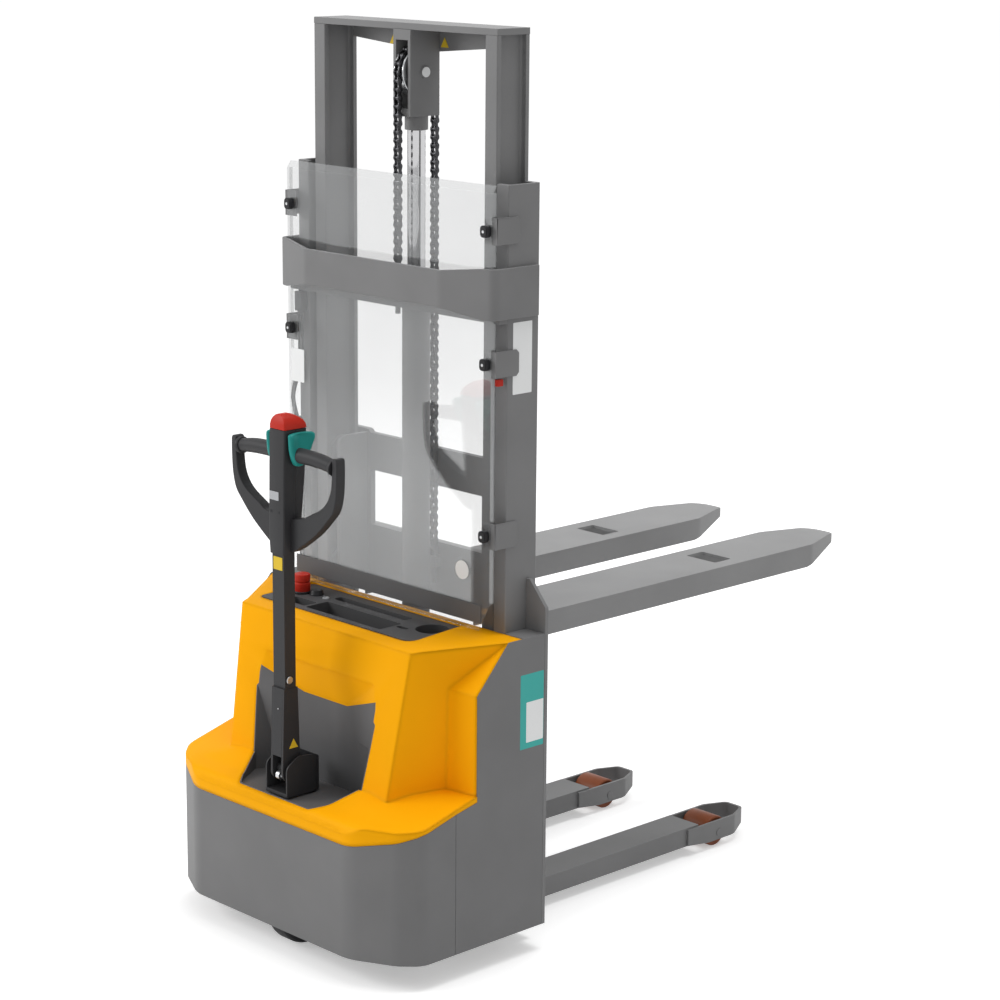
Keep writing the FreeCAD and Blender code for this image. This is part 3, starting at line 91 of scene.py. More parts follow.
FLOOR_GREY = (0.93, 0.93, 0.93)

# Light: the floor's own glow under the machine and far from it, and the sky's strength
FLOOR_GLOW = 0.40
FAR_GLOW = 0.56
GLOW_FROM = 1.2
GLOW_TO = 3.2
SKY = 0.50
# name, place, target, size in metres and power in watts
LAMPS = (("key", (-3.5, -4.5, 3.5), (0, -0.4, 0.9), 2.5, 150),
         ("top", (0.5, 0.5, 6.0), (0, 0, 0.5), 3.0, 175))

# Chain
CHAIN_PITCH = 0.01905
PLATE_RADIUS = 0.0070
PLATE_WAIST = 0.0046
# near and far face of the link plates, from the chain's middle
INNER_PLATE = (0.0042, 0.0061)
OUTER_PLATE = (0.0065, 0.0084)
PIN_RADIUS = 0.0027
PIN_HALF = 0.0093


# Materials

def shader(name):
    material = bpy.data.materials.new(name)
    material.use_nodes = True
    tree = material.node_tree
    return material, tree, tree.nodes["Principled BSDF"]


def noise_at(tree, scale, detail=2.0, rough=0.5):
    """A noise texture in the piece's own metres."""
    place = tree.nodes.new("ShaderNodeTexCoord")
    noise = tree.nodes.new("ShaderNodeTexNoise")
    noise.inputs["Scale"].default_value = scale
    noise.inputs["Detail"].default_value = detail
    noise.inputs["Roughness"].default_value = rough
    tree.links.new(place.outputs["Object"], noise.inputs["Vector"])
    return noise


def ranged(tree, source, low, high):
    span = tree.nodes.new("ShaderNodeMapRange")
    span.inputs["From Min"].default_value = 0.3
    span.inputs["From Max"].default_value = 0.7
    span.inputs["To Min"].default_value = low
    span.inputs["To Max"].default_value = high
    tree.links.new(source, span.inputs["Value"])
    return span.outputs["Result"]


def finish_of(name, colour, rough, metal=0.0, shade=0.05, patch=6.0, grain=900.0, bump=0.05,
              depth=0.0003, gloss=0.22, rough_shift=0.06, round_by=0.0):
    """A surface whose colour and gloss vary gently in patches, with a fine grain in its bump.

    round_by is the radius in metres over which its edges catch the light as rounded ones."""
    material, tree, base = shader(name)
    patches = noise_at(tree, patch, 3.0)
    mix = tree.nodes.new("ShaderNodeMix")
    mix.data_type = "RGBA"
    tree.links.new(ranged(tree, patches.outputs["Fac"], 0.0, 1.0), mix.inputs["Factor"])
    mix.inputs["A"].default_value = tuple(c * (1 - shade) for c in colour) + (1,)
    mix.inputs["B"].default_value = tuple(min(1, c * (1 + shade)) for c in colour) + (1,)
    tree.links.new(mix.outputs["Result"], base.inputs["Base Color"])
    fine = noise_at(tree, grain, 2.0, 0.6)
    tree.links.new(ranged(tree, fine.outputs["Fac"], rough - rough_shift / 2, rough + rough_shift / 2),
                   base.inputs["Roughness"])
    relief = tree.nodes.new("ShaderNodeBump")
    relief.inputs["Strength"].default_value = bump
    relief.inputs["Distance"].default_value = depth
    tree.links.new(fine.outputs["Fac"], relief.inputs["Height"])
    tree.links.new(relief.outputs["Normal"], base.inputs["Normal"])
    if round_by:
        soft = tree.nodes.new("ShaderNodeBevel")
        soft.samples = 6
        soft.inputs["Radius"].default_value = round_by
        tree.links.new(soft.outputs["Normal"], relief.inputs["Normal"])
    base.inputs["Metallic"].default_value = metal
    base.inputs["Specular IOR Level"].default_value = gloss
    return material


def brushed(name, colour, rough):
    """Machined steel whose fine marks run round or along it."""
    material, tree, base = shader(name)
    place = tree.nodes.new("ShaderNodeTexCoord")
    stretch = tree.nodes.new("ShaderNodeMapping")
    stretch.inputs["Scale"].default_value = (40, 900, 900)
    noise = tree.nodes.new("ShaderNodeTexNoise")
    noise.inputs["Scale"].default_value = 1.0
    tree.links.new(place.outputs["Object"], stretch.inputs["Vector"])
    tree.links.new(stretch.outputs["Vector"], noise.inputs["Vector"])
    tree.links.new(ranged(tree, noise.outputs["Fac"], rough - 0.07, rough + 0.07), base.inputs["Roughness"])
    ramp = tree.nodes.new("ShaderNodeMix")
    ramp.data_type = "RGBA"
    tree.links.new(noise.outputs["Fac"], ramp.inputs["Factor"])
    ramp.inputs["A"].default_value = tuple(c * 0.85 for c in colour) + (1,)
    ramp.inputs["B"].default_value = tuple(min(1, c * 1.1) for c in colour) + (1,)
    tree.links.new(ramp.outputs["Result"], base.inputs["Base Color"])
    base.inputs["Metallic"].default_value = 1.0
    return material


def clear_sheet():
    """Clear sheet that mirrors part of the bright room, a little dusty in patches."""
    material, tree, base = shader("clear_sheet")
    dust = noise_at(tree, 3.0, 4.0)
    tree.links.new(ranged(tree, dust.outputs["Fac"], 0.22, 0.26), base.inputs["Alpha"])
    base.inputs["Base Color"].default_value = (0.52, 0.53, 0.535, 1)
    base.inputs["Metallic"].default_value = 0.6
    base.inputs["Roughness"].default_value = 0.03
    material.surface_render_method = "BLENDED"
    return material


# name: colour, roughness and further values of finish_of
FINISHES = {
    "body_grey": (PAINT_GREY, 0.50, dict(grain=1100, bump=0.06)),
    "mast_grey": (MAST_GREY, 0.46, dict(grain=800, bump=0.09, shade=0.06)),
    "fork_painted_light_grey": (FORK_PAINTED_LIGHT_GREY, 0.46, dict(grain=800, bump=0.09, shade=0.06)),
    "cover_yellow": (YELLOW, 0.48, dict(shade=0.02, grain=1600, bump=0.03, gloss=0.04, round_by=0.016)),
    "dark_plastic": (DARK_GREY, 0.52, dict(grain=2600, bump=0.22, depth=0.0002)),
    "liner_grey": (LINER_GREY, 0.55, dict(grain=2200, bump=0.25, depth=0.0002)),
    "tray_grey": (TRAY_GREY, 0.56, dict(grain=2200, bump=0.25, depth=0.0002)),
    "black_plastic": (BLACK, 0.42, dict(grain=2400, bump=0.15, depth=0.0002)),
    "red_plastic": (RED, 0.42, dict(shade=0.03, grain=1800, bump=0.03, gloss=0.15)),
    "teal_plastic": (TEAL, 0.42, dict(shade=0.03, grain=1800, bump=0.04, gloss=0.15)),
    "chain_steel": (CHAIN_GREY, 0.34,
                    dict(metal=0.8, shade=0.25, patch=60, grain=700, bump=0.15, rough_shift=0.2)),
    "chrome_rod": (CHROME, 0.12, dict(metal=1.0, shade=0.02, grain=500, bump=0.01, rough_shift=0.03)),
    "cable_black": (CABLE_GREY, 0.55, dict(grain=1500, bump=0.12)),
    "roller_brown": (BROWN, 0.40, dict(shade=0.10, patch=20, grain=900, bump=0.08)),
    "drive_tyre": (TYRE_GREY, 0.66, dict(shade=0.15, patch=25, grain=1200, bump=0.3)),
    "unit_dark": (UNIT_GREY, 0.5, dict(grain=1200, bump=0.1)),
    "sign_yellow": (SIGN_YELLOW, 0.45, dict(shade=0.02, bump=0.02)),
    "sign_white": (SIGN_WHITE, 0.45, dict(shade=0.01, bump=0.02)),
    "sign_teal": (LABEL_TEAL, 0.42, dict(shade=0.02, bump=0.02)),
    "display": (DISPLAY_GREY, 0.15, dict(shade=0.03, bump=0.0)),
}
MATERIALS = {name: finish_of(name, colour, rough, **rest) for name, (colour, rough, rest) in FINISHES.items()}
MATERIALS["clear_sheet"] = clear_sheet()
MATERIALS["steel_zinc"] = brushed("steel_zinc", ZINC, 0.34)


def paint(piece, material):
    piece.data.materials.clear()
    piece.data.materials.append(material)


# Shapes: each maker returns points and faces

def prism(outline, place, low, high):
    """A flat outline of (u, v) points drawn from low to high, each point placed by the function given."""
    count = len(outline)
    points = [place(u, v, low) for u, v in outline] + [place(u, v, high) for u, v in outline]
    faces = [tuple(reversed(range(count))), tuple(range(count, 2 * count))]
    for i in range(count):
        j = (i + 1) % count
        faces.append((i, j, count + j, count + i))
    return points, faces


def on_x(u, v, w):
    return Vector((w, u, v))


def on_y(u, v, w):
    return Vector((u, w, v))


def on_z(u, v, w):
    return Vector((u, v, w))


def block(x0, x1, y0, y1, z0, z1):
    return prism([(x0, y0), (x1, y0), (x1, y1), (x0, y1)], on_z, z0, z1)


def rounded(half_u, half_v, radius, steps=4, centre=(0, 0)):
    """Corner points of a rounded rectangle."""
    outline = []
    for su, sv, start in ((1, 1, 0), (-1, 1, 90), (-1, -1, 180), (1, -1, 270)):
        for step in range(steps + 1):
            angle = math.radians(start + 90 * step / steps)
            outline.append((centre[0] + su * (half_u - radius) + radius * math.cos(angle),
                            centre[1] + sv * (half_v - radius) + radius * math.sin(angle)))
    return outline


def lathe(profile, centre, axis, steps=48):
    """A closed (radius, distance along the axis) profile turned about the axis through the centre."""
    axis = Vector(axis).normalized()
    turn = Vector((0, 0, 1)).rotation_difference(axis).to_matrix()
    points, faces = [], []
    for step in range(steps):
        angle = 2 * math.pi * step / steps
        for radius, along in profile:
            local = Vector((radius * math.cos(angle), radius * math.sin(angle), along))
            points.append(turn @ local + Vector(centre))
    count = len(profile)
    for step in range(steps):
        following = (step + 1) % steps
        for i in range(count):
            j = (i + 1) % count
            faces.append((step * count + i, following * count + i, following * count + j, step * count + j))
    return points, faces


def both_ends(profile):
    """A (radius, distance) profile followed by its mirror image at the other end."""
    return profile + [(radius, -along) for radius, along in reversed(profile)]


def disc(radius, low, high, centre, axis, edge=0.0, steps=32):
    """A round boss or button with an optional chamfer at its far end."""
    profile = [(1e-5, low), (radius, low), (radius, high - edge)]
    if edge:
        profile.append((radius - edge, high))
    profile.append((1e-5, high))
    return lathe(profile, centre, axis, steps)


def loft(rings):
    """A closed solid between rings of points that have the same count."""
    count = len(rings[0])
    points = [Vector(p) for ring in rings for p in ring]
    faces = []
    for r in range(len(rings) - 1):
        for i in range(count):
            j = (i + 1) % count
            faces.append((r * count + i, r * count + j, (r + 1) * count + j, (r + 1) * count + i))
    faces.append(tuple(reversed(range(count))))
    faces.append(tuple(range((len(rings) - 1) * count, len(rings) * count)))
    return points, faces


def smooth_path(knots, steps=8):
    """Points on a curve through the knots; a knot may carry further values that are blended too."""
    out = []
    for i in range(len(knots) - 1):
        a, b = knots[max(i - 1, 0)], knots[i]
        c, d = knots[i + 1], knots[min(i + 2, len(knots) - 1)]
        for step in range(steps):
            t = step / steps
            out.append(tuple(0.5 * (2 * q + (r - p) * t + (2 * p - 5 * q + 4 * r - s) * t * t
                                    + (3 * q - p - 3 * r + s) * t ** 3) for p, q, r, s in zip(a, b, c, d)))
    out.append(tuple(knots[-1]))
    return out


def swept(knots, steps=8, around=24):
    """A bar in the X-Z plane through (x, y, z, half height, half depth) knots."""
    across = Vector((0, 1, 0))
    stations = smooth_path(knots, steps)
    rings = []
    for i, station in enumerate(stations):
        here = Vector(station[:3])
        before = Vector(stations[max(i - 1, 0)][:3])
        after = Vector(stations[min(i + 1, len(stations) - 1)][:3])
        along = (after - before).normalized()
        up = along.cross(across).normalized()
        ring = []
        for k in range(around):
            angle = 2 * math.pi * k / around
            ring.append(here + up * math.cos(angle) * station[3] + across * math.sin(angle) * station[4])
        rings.append(ring)
    return loft(rings)


def mirrored(shape):
    points, faces = shape
    return [Vector((-p[0], p[1], p[2])) for p in points], [tuple(reversed(face)) for face in faces]


def piece(name, shapes, look, body, bevel=0.0, segments=2, replaces=(), smooth=35, subdivide=0):
    """One object from several shapes, riding on a body."""
    points, faces = [], []
    for some_points, some_faces in shapes:
        base = len(points)
        points += [tuple(p) for p in some_points]
        faces += [tuple(base + i for i in face) for face in some_faces]
    mesh = bpy.data.meshes.new(name)
    mesh.from_pydata(points, [], faces)
    mesh.validate()
    obj = bpy.data.objects.new(name, mesh)
    bpy.context.scene.collection.objects.link(obj)
    paint(obj, MATERIALS[look])
    tidy_normals(mesh, smooth)
    if subdivide:
        detail = obj.modifiers.new("rounding", "SUBSURF")
        detail.levels = detail.render_levels = subdivide
    if bevel:
        edges = obj.modifiers.new("edges", "BEVEL")
        edges.width = bevel
        edges.segments = segments
        edges.limit_method = "ANGLE"
        edges.angle_limit = math.radians(35)
        edges.harden_normals = True
    if body:
        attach(obj, body)
    if replaces:
        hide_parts(*replaces)
    return obj


def tidy_normals(mesh, smooth):
    """Consistent outward faces, smooth except across edges sharper than the given angle."""
    work = bmesh.new()
    work.from_mesh(mesh)
    bmesh.ops.remove_doubles(work, verts=work.verts, dist=1e-6)
    bmesh.ops.recalc_face_normals(work, faces=work.faces)
    work.to_mesh(mesh)
    work.free()
    mesh.shade_smooth()
    mesh.set_sharp_from_angle(angle=math.radians(smooth))


def soften(node, width):
    """Rounds a solid's sharp edges by modifiers alone."""
    obj = nodes[node]
    mesh = obj.data
    if "custom_normal" in mesh.attributes:
        mesh.attributes.remove(mesh.attributes["custom_normal"])
    mesh.shade_smooth()
    edged(obj, width, 2, 28)


# Solids that keep their shape

EDGE_ROUNDING = {
    "side_panel_left": 0.0015, "side_panel_right": 0.0015, "fork_left": 0.0025, "fork_right": 0.0025,
    "cross_bar": 0.0015,
}
PLAIN_ROUNDING = 0.0010
KEEP_SHARP = ("chain_front", "chain_rear", "chain_wrap", "switch_cables")


def dress_solids():
    for row in frame["record"]["subparts"]:
        node = row["node"]
        # the forks take a lighter copy of the mast grey, painted light for the brighter light that falls on
        # them
        slot = "fork_painted_light_grey" if node in ("fork_left", "fork_right") else row["material_slot"]
        paint(nodes[node], MATERIALS[slot])
        if node not in KEEP_SHARP:
            soften(node, EDGE_ROUNDING.get(node, PLAIN_ROUNDING))


# Solids cut from one another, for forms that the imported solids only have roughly

def with_arcs(corners, steps=6):
    """An outline whose (u, v, radius) corners become arcs while plain (u, v) corners stay sharp."""
    points = []
    for i, corner in enumerate(corners):
        here = Vector(corner[:2])
        if len(corner) == 2:
            points.append(tuple(here))
            continue
        back = (Vector(corners[i - 1][:2]) - here).normalized()
        ahead = (Vector(corners[(i + 1) % len(corners)][:2]) - here).normalized()
        half = back.angle(ahead) / 2
        centre = here + (back + ahead).normalized() * (corner[2] / math.sin(half))
        start = here + back * (corner[2] / math.tan(half)) - centre
        finish = here + ahead * (corner[2] / math.tan(half)) - centre
        first = math.atan2(start.y, start.x)
        sweep = (math.atan2(finish.y, finish.x) - first + math.pi) % (2 * math.pi) - math.pi
        for step in range(steps + 1):
            angle = first + sweep * step / steps
            points.append((centre.x + corner[2] * math.cos(angle), centre.y + corner[2] * math.sin(angle)))
    return points


def twin(right):
    """A closed outline from its right half, listed from the middle of one end to the other."""
    return list(right) + [(-c[0],) + tuple(c[1:]) for c in reversed(right)]


def levels_loft(levels):
    """A solid through level sections, each a height and the right half of its outline."""
    return loft([[(x, y, z) for x, y in twin(half)] for z, half in levels])


def solid(shape):
    """A loose object with outward faces, cut into triangles so that bent faces are cut cleanly."""
    mesh = bpy.data.meshes.new("work")
    mesh.from_pydata([tuple(p) for p in shape[0]], [], shape[1])
    work = bmesh.new()
    work.from_mesh(mesh)
    bmesh.ops.remove_doubles(work, verts=work.verts, dist=1e-6)
    bmesh.ops.recalc_face_normals(work, faces=work.faces)
    bmesh.ops.triangulate(work, faces=work.faces)
    work.to_mesh(mesh)
    work.free()
    obj = bpy.data.objects.new("work", mesh)
    bpy.context.scene.collection.objects.link(obj)
    return obj


def carved(base, steps):
    """The base after each (operation, shape) in turn."""
    for operation, shape in steps:
        tool = solid(shape)
        cut = base.modifiers.new("cut", "BOOLEAN")
        cut.operation = operation
        cut.solver = "EXACT"
        cut.object = tool
        result = bpy.data.meshes.new_from_object(base.evaluated_get(bpy.context.evaluated_depsgraph_get()))
        base.modifiers.clear()
        base.data = result
        bpy.data.objects.remove(tool)
    return base


def taken(obj):
    """The points and faces of a loose object, which is then removed."""
    shape = [v.co.copy() for v in obj.data.vertices], [tuple(f.vertices) for f in obj.data.polygons]
    bpy.data.objects.remove(obj)
    return shape


def edged(obj, width, segments, sharp=24):
    """Joins flat faces again and rounds the edges sharper than the given angle."""
    weld = obj.modifiers.new("weld", "WELD")
    weld.merge_threshold = 1e-5
    flat = obj.modifiers.new("flat", "DECIMATE")
    flat.decimate_type = "DISSOLVE"
    flat.angle_limit = math.radians(0.4)
    edges = obj.modifiers.new("edges", "BEVEL")
    edges.width = width
    edges.segments = segments
    edges.limit_method = "ANGLE"
    edges.angle_limit = math.radians(sharp)
    edges.harden_normals = True


# Cover and niche

WIDE = 0.49
NICHE_FLOOR = 0.372
BODY_OUTLINE = [(0.278, -0.870, 0.110), (0.384, -0.817, 0.090), (0.425, -0.774, 0.050), (0.425, -0.606)]
BUMPER_TOP = [(-0.930, 0.20), (-0.930, 0.356), (-0.870, 0.356, 0.005), (-0.856, 0.376, 0.018),
              (-0.815, 0.387, 0.060), (-0.757, 0.417, 0.030), (-0.606, 0.425), (-0.606, 0.20)]
SEAM = [(-0.930, 0.10), (-0.930, 0.3303), (-0.870, 0.3303), (-0.774, 0.3713), (-0.675, 0.3983),
        (-0.610, 0.4123), (-0.350, 0.4123), (-0.350, 0.10)]
PANEL_EDGE = [(-0.675, 0.20), (-0.675, 0.3983), (-0.6103, 0.4123), (-0.6103, 0.659), (-0.5133, 0.7673),
              (-0.350, 0.7673), (-0.350, 0.20)]


def shoulders():
    """A low roof whose sides fall towards the body's sides and rise towards the mast."""
    rings = []
    for y in (-0.930, -0.550):
        edge = 0.381 + 0.273 * (y + 0.774)
        rings.append([(x, y, z) for x, z in ((WIDE, 0.10), (WIDE, edge - 0.0103), (0.076, edge + 0.0551),
                                             (-0.076, edge + 0.0551), (-WIDE, edge - 0.0103), (-WIDE, 0.10))])
    return loft(rings)


def tower():
    """The leaning front, ridged corners and side recesses above the bumper."""
    # height, then the ridge, the back of the recess and the flare's end as (x, y)
    rows = ((0.340, (0.278, -0.768), (0.334, -0.640), (0.425, -0.610)),
            (0.417, (0.282, -0.755), (0.333, -0.622), (0.425, -0.610)),
            (0.659, (0.296, -0.715), (0.332, -0.616), (0.425, -0.610)),
            (0.765, (0.302, -0.698), (0.309, -0.684), (0.419, -0.513)))
    return levels_loft([(row[0], list(row[1:]) + [(row[3][0], -0.467)]) for row in rows])


def tower_top():
    outline = [(-0.930, 0.10), (-0.930, 0.751), (-0.698, 0.751), (-0.513, 0.765), (-0.350, 0.765),
               (-0.350, 0.10)]
    return prism(outline, on_x, -WIDE, WIDE)


def niche(grow):
    """The hollow that the tiller stands in, in two shapes: the upper part and the forward foot."""
    floor, lip = NICHE_FLOOR - grow, 0.657
    # height, half width and y at the back, then at the mouth, and y in front of the mouth
    rows = ((floor, 0.162, -0.697, 0.187, -0.757), (0.576, 0.0765, -0.696, 0.2115, -0.731),
            (lip + grow, 0.190, -0.713, 0.200, -0.717))
    upper = [(z, [(mouth + grow, -0.93), (mouth + grow, mouth_y), (back + grow, y + grow)])
             for z, back, y, mouth, mouth_y in rows]
    foot = with_arcs(twin([(0.123 + grow, -0.852 - grow, 0.014), (0.147 + grow, -0.826, 0.030),
                           (0.187 + grow, -0.757), (0.162 + grow, -0.697 + grow)]))
    return levels_loft(upper), prism(foot, on_z, floor, 0.50)


def above_bumper():
    """Keeps the niche's upper part behind the bumper's crest."""
    return prism([(-0.95, 0.30), (-0.7575, 0.30), (-0.7575, 0.4165), (-0.95, 0.4165)], on_x, -WIDE, WIDE)


def liner_edge():
    """All that lies under the liner's top edge."""
    return prism(twin([(WIDE, 0.10), (WIDE, 0.718), (0.0765, 0.576)]), on_y, -0.95, -0.45)


def skirt():
    """The grey sheet round the foot of the body, rounded at its corners."""
    inner = [(0.2774, -0.867, 0.107), (0.3816, -0.8149, 0.087), (0.422, -0.7731, 0.047), (0.422, -0.600)]
    outer = BODY_OUTLINE[:-1] + [(0.425, -0.6755)]
    seam = [(y, z - 0.0005 if z > 0.2 else 0.05) for y, z in SEAM]
    shape = carved(solid(prism(with_arcs(twin(outer), 8), on_z, 0.062, 0.420)),
                   [("DIFFERENCE", prism(with_arcs(twin(inner), 8), on_z, 0.020, 0.480)),
                    ("INTERSECT", prism(seam, on_x, -WIDE, WIDE))])
    edged(piece("skirt_sheet", [taken(shape)], "body_grey", "root", replaces=["front_skirt"],
                smooth=28), 0.0012, 2)


def cover_and_liner():
    bumper = carved(solid(prism(with_arcs(twin(BODY_OUTLINE), 8), on_z, 0.27, 0.48)),
                    [("INTERSECT", prism(with_arcs(BUMPER_TOP, 6), on_x, -WIDE, WIDE)),
                     ("INTERSECT", shoulders())])
    upper = carved(solid(tower()), [("INTERSECT", tower_top())])
    body = taken(carved(bumper, [("UNION", taken(upper))]))
    hollows = []
    for grow in (0.0, 0.003):
        high, foot = niche(grow)
        high = taken(carved(solid(high), [("DIFFERENCE", above_bumper())]))
        hollows.append(taken(carved(solid(high), [("UNION", foot)])))
    lined = taken(carved(solid(hollows[1]), [("INTERSECT", liner_edge())]))
    tray_hole = prism(with_arcs(TRAY_OUTLINE, 4), on_z, 0.60, 0.90)
    panel = prism(PANEL_EDGE, on_x, 0.4205, WIDE)
    cellar = prism(with_arcs(twin([(0.272, -0.864, 0.11), (0.379, -0.812, 0.09), (0.421, -0.770, 0.05),
                                   (0.421, -0.500)]), 8), on_z, 0.10, 0.360)
    shaft = prism([(0.034 * math.cos(a * math.pi / 12), -0.770 + 0.034 * math.sin(a * math.pi / 12))
                   for a in range(24)], on_z, 0.30, 0.40)
    seam = prism(SEAM, on_x, -WIDE, WIDE)
    shell = carved(solid(body), [("DIFFERENCE", hollows[0]), ("DIFFERENCE", lined), ("DIFFERENCE", tray_hole),
                                 ("DIFFERENCE", seam), ("DIFFERENCE", panel), ("DIFFERENCE", mirrored(panel)),
                                 ("DIFFERENCE", cellar), ("DIFFERENCE", shaft)])
    shell = piece("cover_shell", [taken(shell)], "cover_yellow", "root",
                  replaces=["cover"], smooth=28)
    edged(shell, 0.006, 4)
    walls = carved(solid(body), [("INTERSECT", lined), ("DIFFERENCE", hollows[0]), ("DIFFERENCE", shaft)])
    walls = piece("liner_walls", [taken(walls)], "liner_grey", "root",
                  replaces=["niche_liner"], smooth=28)
    edged(walls, 0.0008, 2)


# Tray

TRAY_TOP = 0.757
TRAY_OUTLINE = [(-0.2995, -0.6495, 0.014), (0.240, -0.6495, 0.028), (0.2465, -0.479, 0.014),
                (-0.2995, -0.479, 0.014)]
CUP_X = 0.197
CUP_Y = -0.541
CUP_RADIUS = 0.0385


def tray():
    base = solid(prism(with_arcs(TRAY_OUTLINE, 4), on_z, 0.690, TRAY_TOP))
    # left, right, front, rear and floor height of each pocket
    pockets = ((-0.235, -0.156, -0.628, -0.588, 0.722), (-0.147, 0.118, -0.632, -0.563, 0.722),
               (-0.157, 0.100, -0.537, -0.512, 0.722), (0.125, 0.160, -0.590, -0.577, 0.740))
    cuts = []
    for x0, x1, y0, y1, z in pockets:
        corners = [(x0, y0, 0.006), (x1, y0, 0.006), (x1, y1, 0.006), (x0, y1, 0.006)]
        cuts.append(("DIFFERENCE", prism(with_arcs(corners, 3), on_z, z, 0.80)))
    cup = [(CUP_X + CUP_RADIUS * math.cos(a * math.pi / 24), CUP_Y + CUP_RADIUS * math.sin(a * math.pi / 24))
           for a in range(48)]
    cuts.append(("DIFFERENCE", prism(cup, on_z, 0.700, 0.80)))
    shape = taken(carved(base, cuts))
    edged(piece("tray_body", [shape], "tray_grey", "root", replaces=["top_tray"], smooth=28),
          0.0015, 2)


# Hood and stalk of the tiller

STALK_HALF = 0.0220
STALK_Y = -0.818


def hinge_hood():
    """The rounded hood on the steering shaft, open at the front."""
    plan = with_arcs([(-0.0385, -0.846), (0.0385, -0.846), (0.0385, -0.731, 0.036),
                      (-0.0385, -0.731, 0.036)], 8)
    side = with_arcs([(-0.95, 0.377), (-0.846, 0.377), (-0.846, 0.448, 0.020), (-0.812, 0.471, 0.030),
                      (-0.731, 0.463, 0.040), (-0.731, 0.377)], 6)[1:]
    cavity = block(-0.0345, 0.0345, -0.86, -0.760, 0.386, 0.50)
    hood = carved(solid(prism(plan, on_z, 0.377, 0.480)),
                  [("INTERSECT", prism(side, on_x, -0.06, 0.06)), ("DIFFERENCE", cavity)])
    shapes = [taken(hood)]
    lug = with_arcs([(-0.755, 0.421), (-0.832, 0.421, 0.0135), (-0.832, 0.449, 0.0135), (-0.755, 0.449)], 6)
    shapes.append(prism(lug, on_x, -0.013, 0.013))
    shapes.append(disc(0.028, 0.0, 0.045, (0, -0.770, 0.335), (0, 0, 1), steps=40))
    edged(piece("hinge_hood", shapes, "dark_plastic", "steering", replaces=["steer_hinge"],
                smooth=30), 0.003, 3)


def stalk():
    """The square tube in its tapered sleeve, forked at the foot round the lug."""
    sleeve = with_arcs([(STALK_Y - 0.027, 0.409, 0.020), (STALK_Y + 0.027, 0.409, 0.020),
                        (STALK_Y + 0.020, 0.632), (STALK_Y - 0.020, 0.632)], 5)
    cheek = prism(sleeve, on_x, STALK_HALF - 0.0065, STALK_HALF)
    web = prism([(STALK_Y - 0.0255, 0.470), (STALK_Y + 0.0255, 0.470), (STALK_Y + 0.020, 0.632),
                 (STALK_Y - 0.020, 0.632)], on_x, 0.0065 - STALK_HALF, STALK_HALF - 0.0065)
    inner = STALK_HALF - 0.0015
    tube = block(-inner, inner, STALK_Y - 0.016, STALK_Y + 0.016, 0.630, 0.952)
    shapes = [cheek, mirrored(cheek), web, tube]
    piece("stalk_tube", shapes, "dark_plastic", "tiller", bevel=0.0022,
          replaces=["tiller_stalk"], smooth=30)


# Chain

def plate_outline(pitch, radius, waist):
    """A figure-eight link plate round pins at 0 and at one pitch."""
    upper = []
    for step in range(5):
        angle = math.radians(180 - 18 * step)
        upper.append((radius * math.cos(angle), radius * math.sin(angle)))
    for step in range(7):
        share = step / 6
        height = waist + (radius - waist) * (0.5 + 0.5 * math.cos(2 * math.pi * share)) ** 0.8
        upper.append((pitch * share, height))
    for step in range(1, 6):
        angle = math.radians(90 - 18 * step)
        upper.append((pitch + radius * math.cos(angle), radius * math.sin(angle)))
    return upper + [(s, -d) for s, d in reversed(upper[1:-1])]


def chain_piece(name, joints, first, body, replaced):
    """Links along a list of pin places; first says whether the run starts with an inner link."""
    shapes = []
    for index in range(len(joints)):
        here = joints[index]
        shapes.append(lathe([(0.0026, -0.0042), (0.0052, -0.0040), (0.0052, 0.0040), (0.0026, 0.0042)],
                            here, (1, 0, 0), 14))
        shapes.append(disc(PIN_RADIUS, -PIN_HALF, PIN_HALF, here, (1, 0, 0), 0.0006, 12))
        if index == len(joints) - 1:
            break
        ahead = (joints[index + 1] - here)
        outline = plate_outline(ahead.length, PLATE_RADIUS, PLATE_WAIST)
        along = ahead.normalized()
        across = Vector((1, 0, 0)).cross(along)
        near, far = INNER_PLATE if (index + first) % 2 == 0 else OUTER_PLATE
        for side in (-1, 1):
            def place(u, v, w, here=here, along=along, across=across, side=side):
                return here + along * u + across * v + Vector((side * w, 0, 0))
            shapes.append(prism(outline, place, near, far))
    return piece(name, shapes, "chain_steel", body, replaces=replaced, smooth=30)


def chains():
    low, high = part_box("chain_front")
    y_front = (low.y + high.y) / 2
    z_anchor, z_pulley = low.z, high.z
    low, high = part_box("chain_rear")
    y_rear = (low.y + high.y) / 2
    rear_anchor = low.z
    centre_y, radius = (y_front + y_rear) / 2, (y_rear - y_front) / 2

    def run(y, z0, z1):
        count = round(abs(z1 - z0) / CHAIN_PITCH)
        return [Vector((0, y, z0 + (z1 - z0) * i / count)) for i in range(count + 1)]

    front = run(y_front, z_anchor, z_pulley)
    count = round(math.pi * radius / CHAIN_PITCH)
    wrap = [Vector((0, centre_y - radius * math.cos(math.pi * i / count),
                    z_pulley + radius * math.sin(math.pi * i / count))) for i in range(count + 1)]
    rear = run(y_rear, z_pulley, rear_anchor)
    strand = chain_piece("front_chain", front, 0, None, ["chain_front"])
    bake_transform(strand)
    chain_piece("pulley_chain", wrap, len(front) - 1, "inner_mast", ["chain_wrap"])
    strand = chain_piece("rear_chain", rear, len(front) + len(wrap) - 2, None, ["chain_rear"])
    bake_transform(strand)


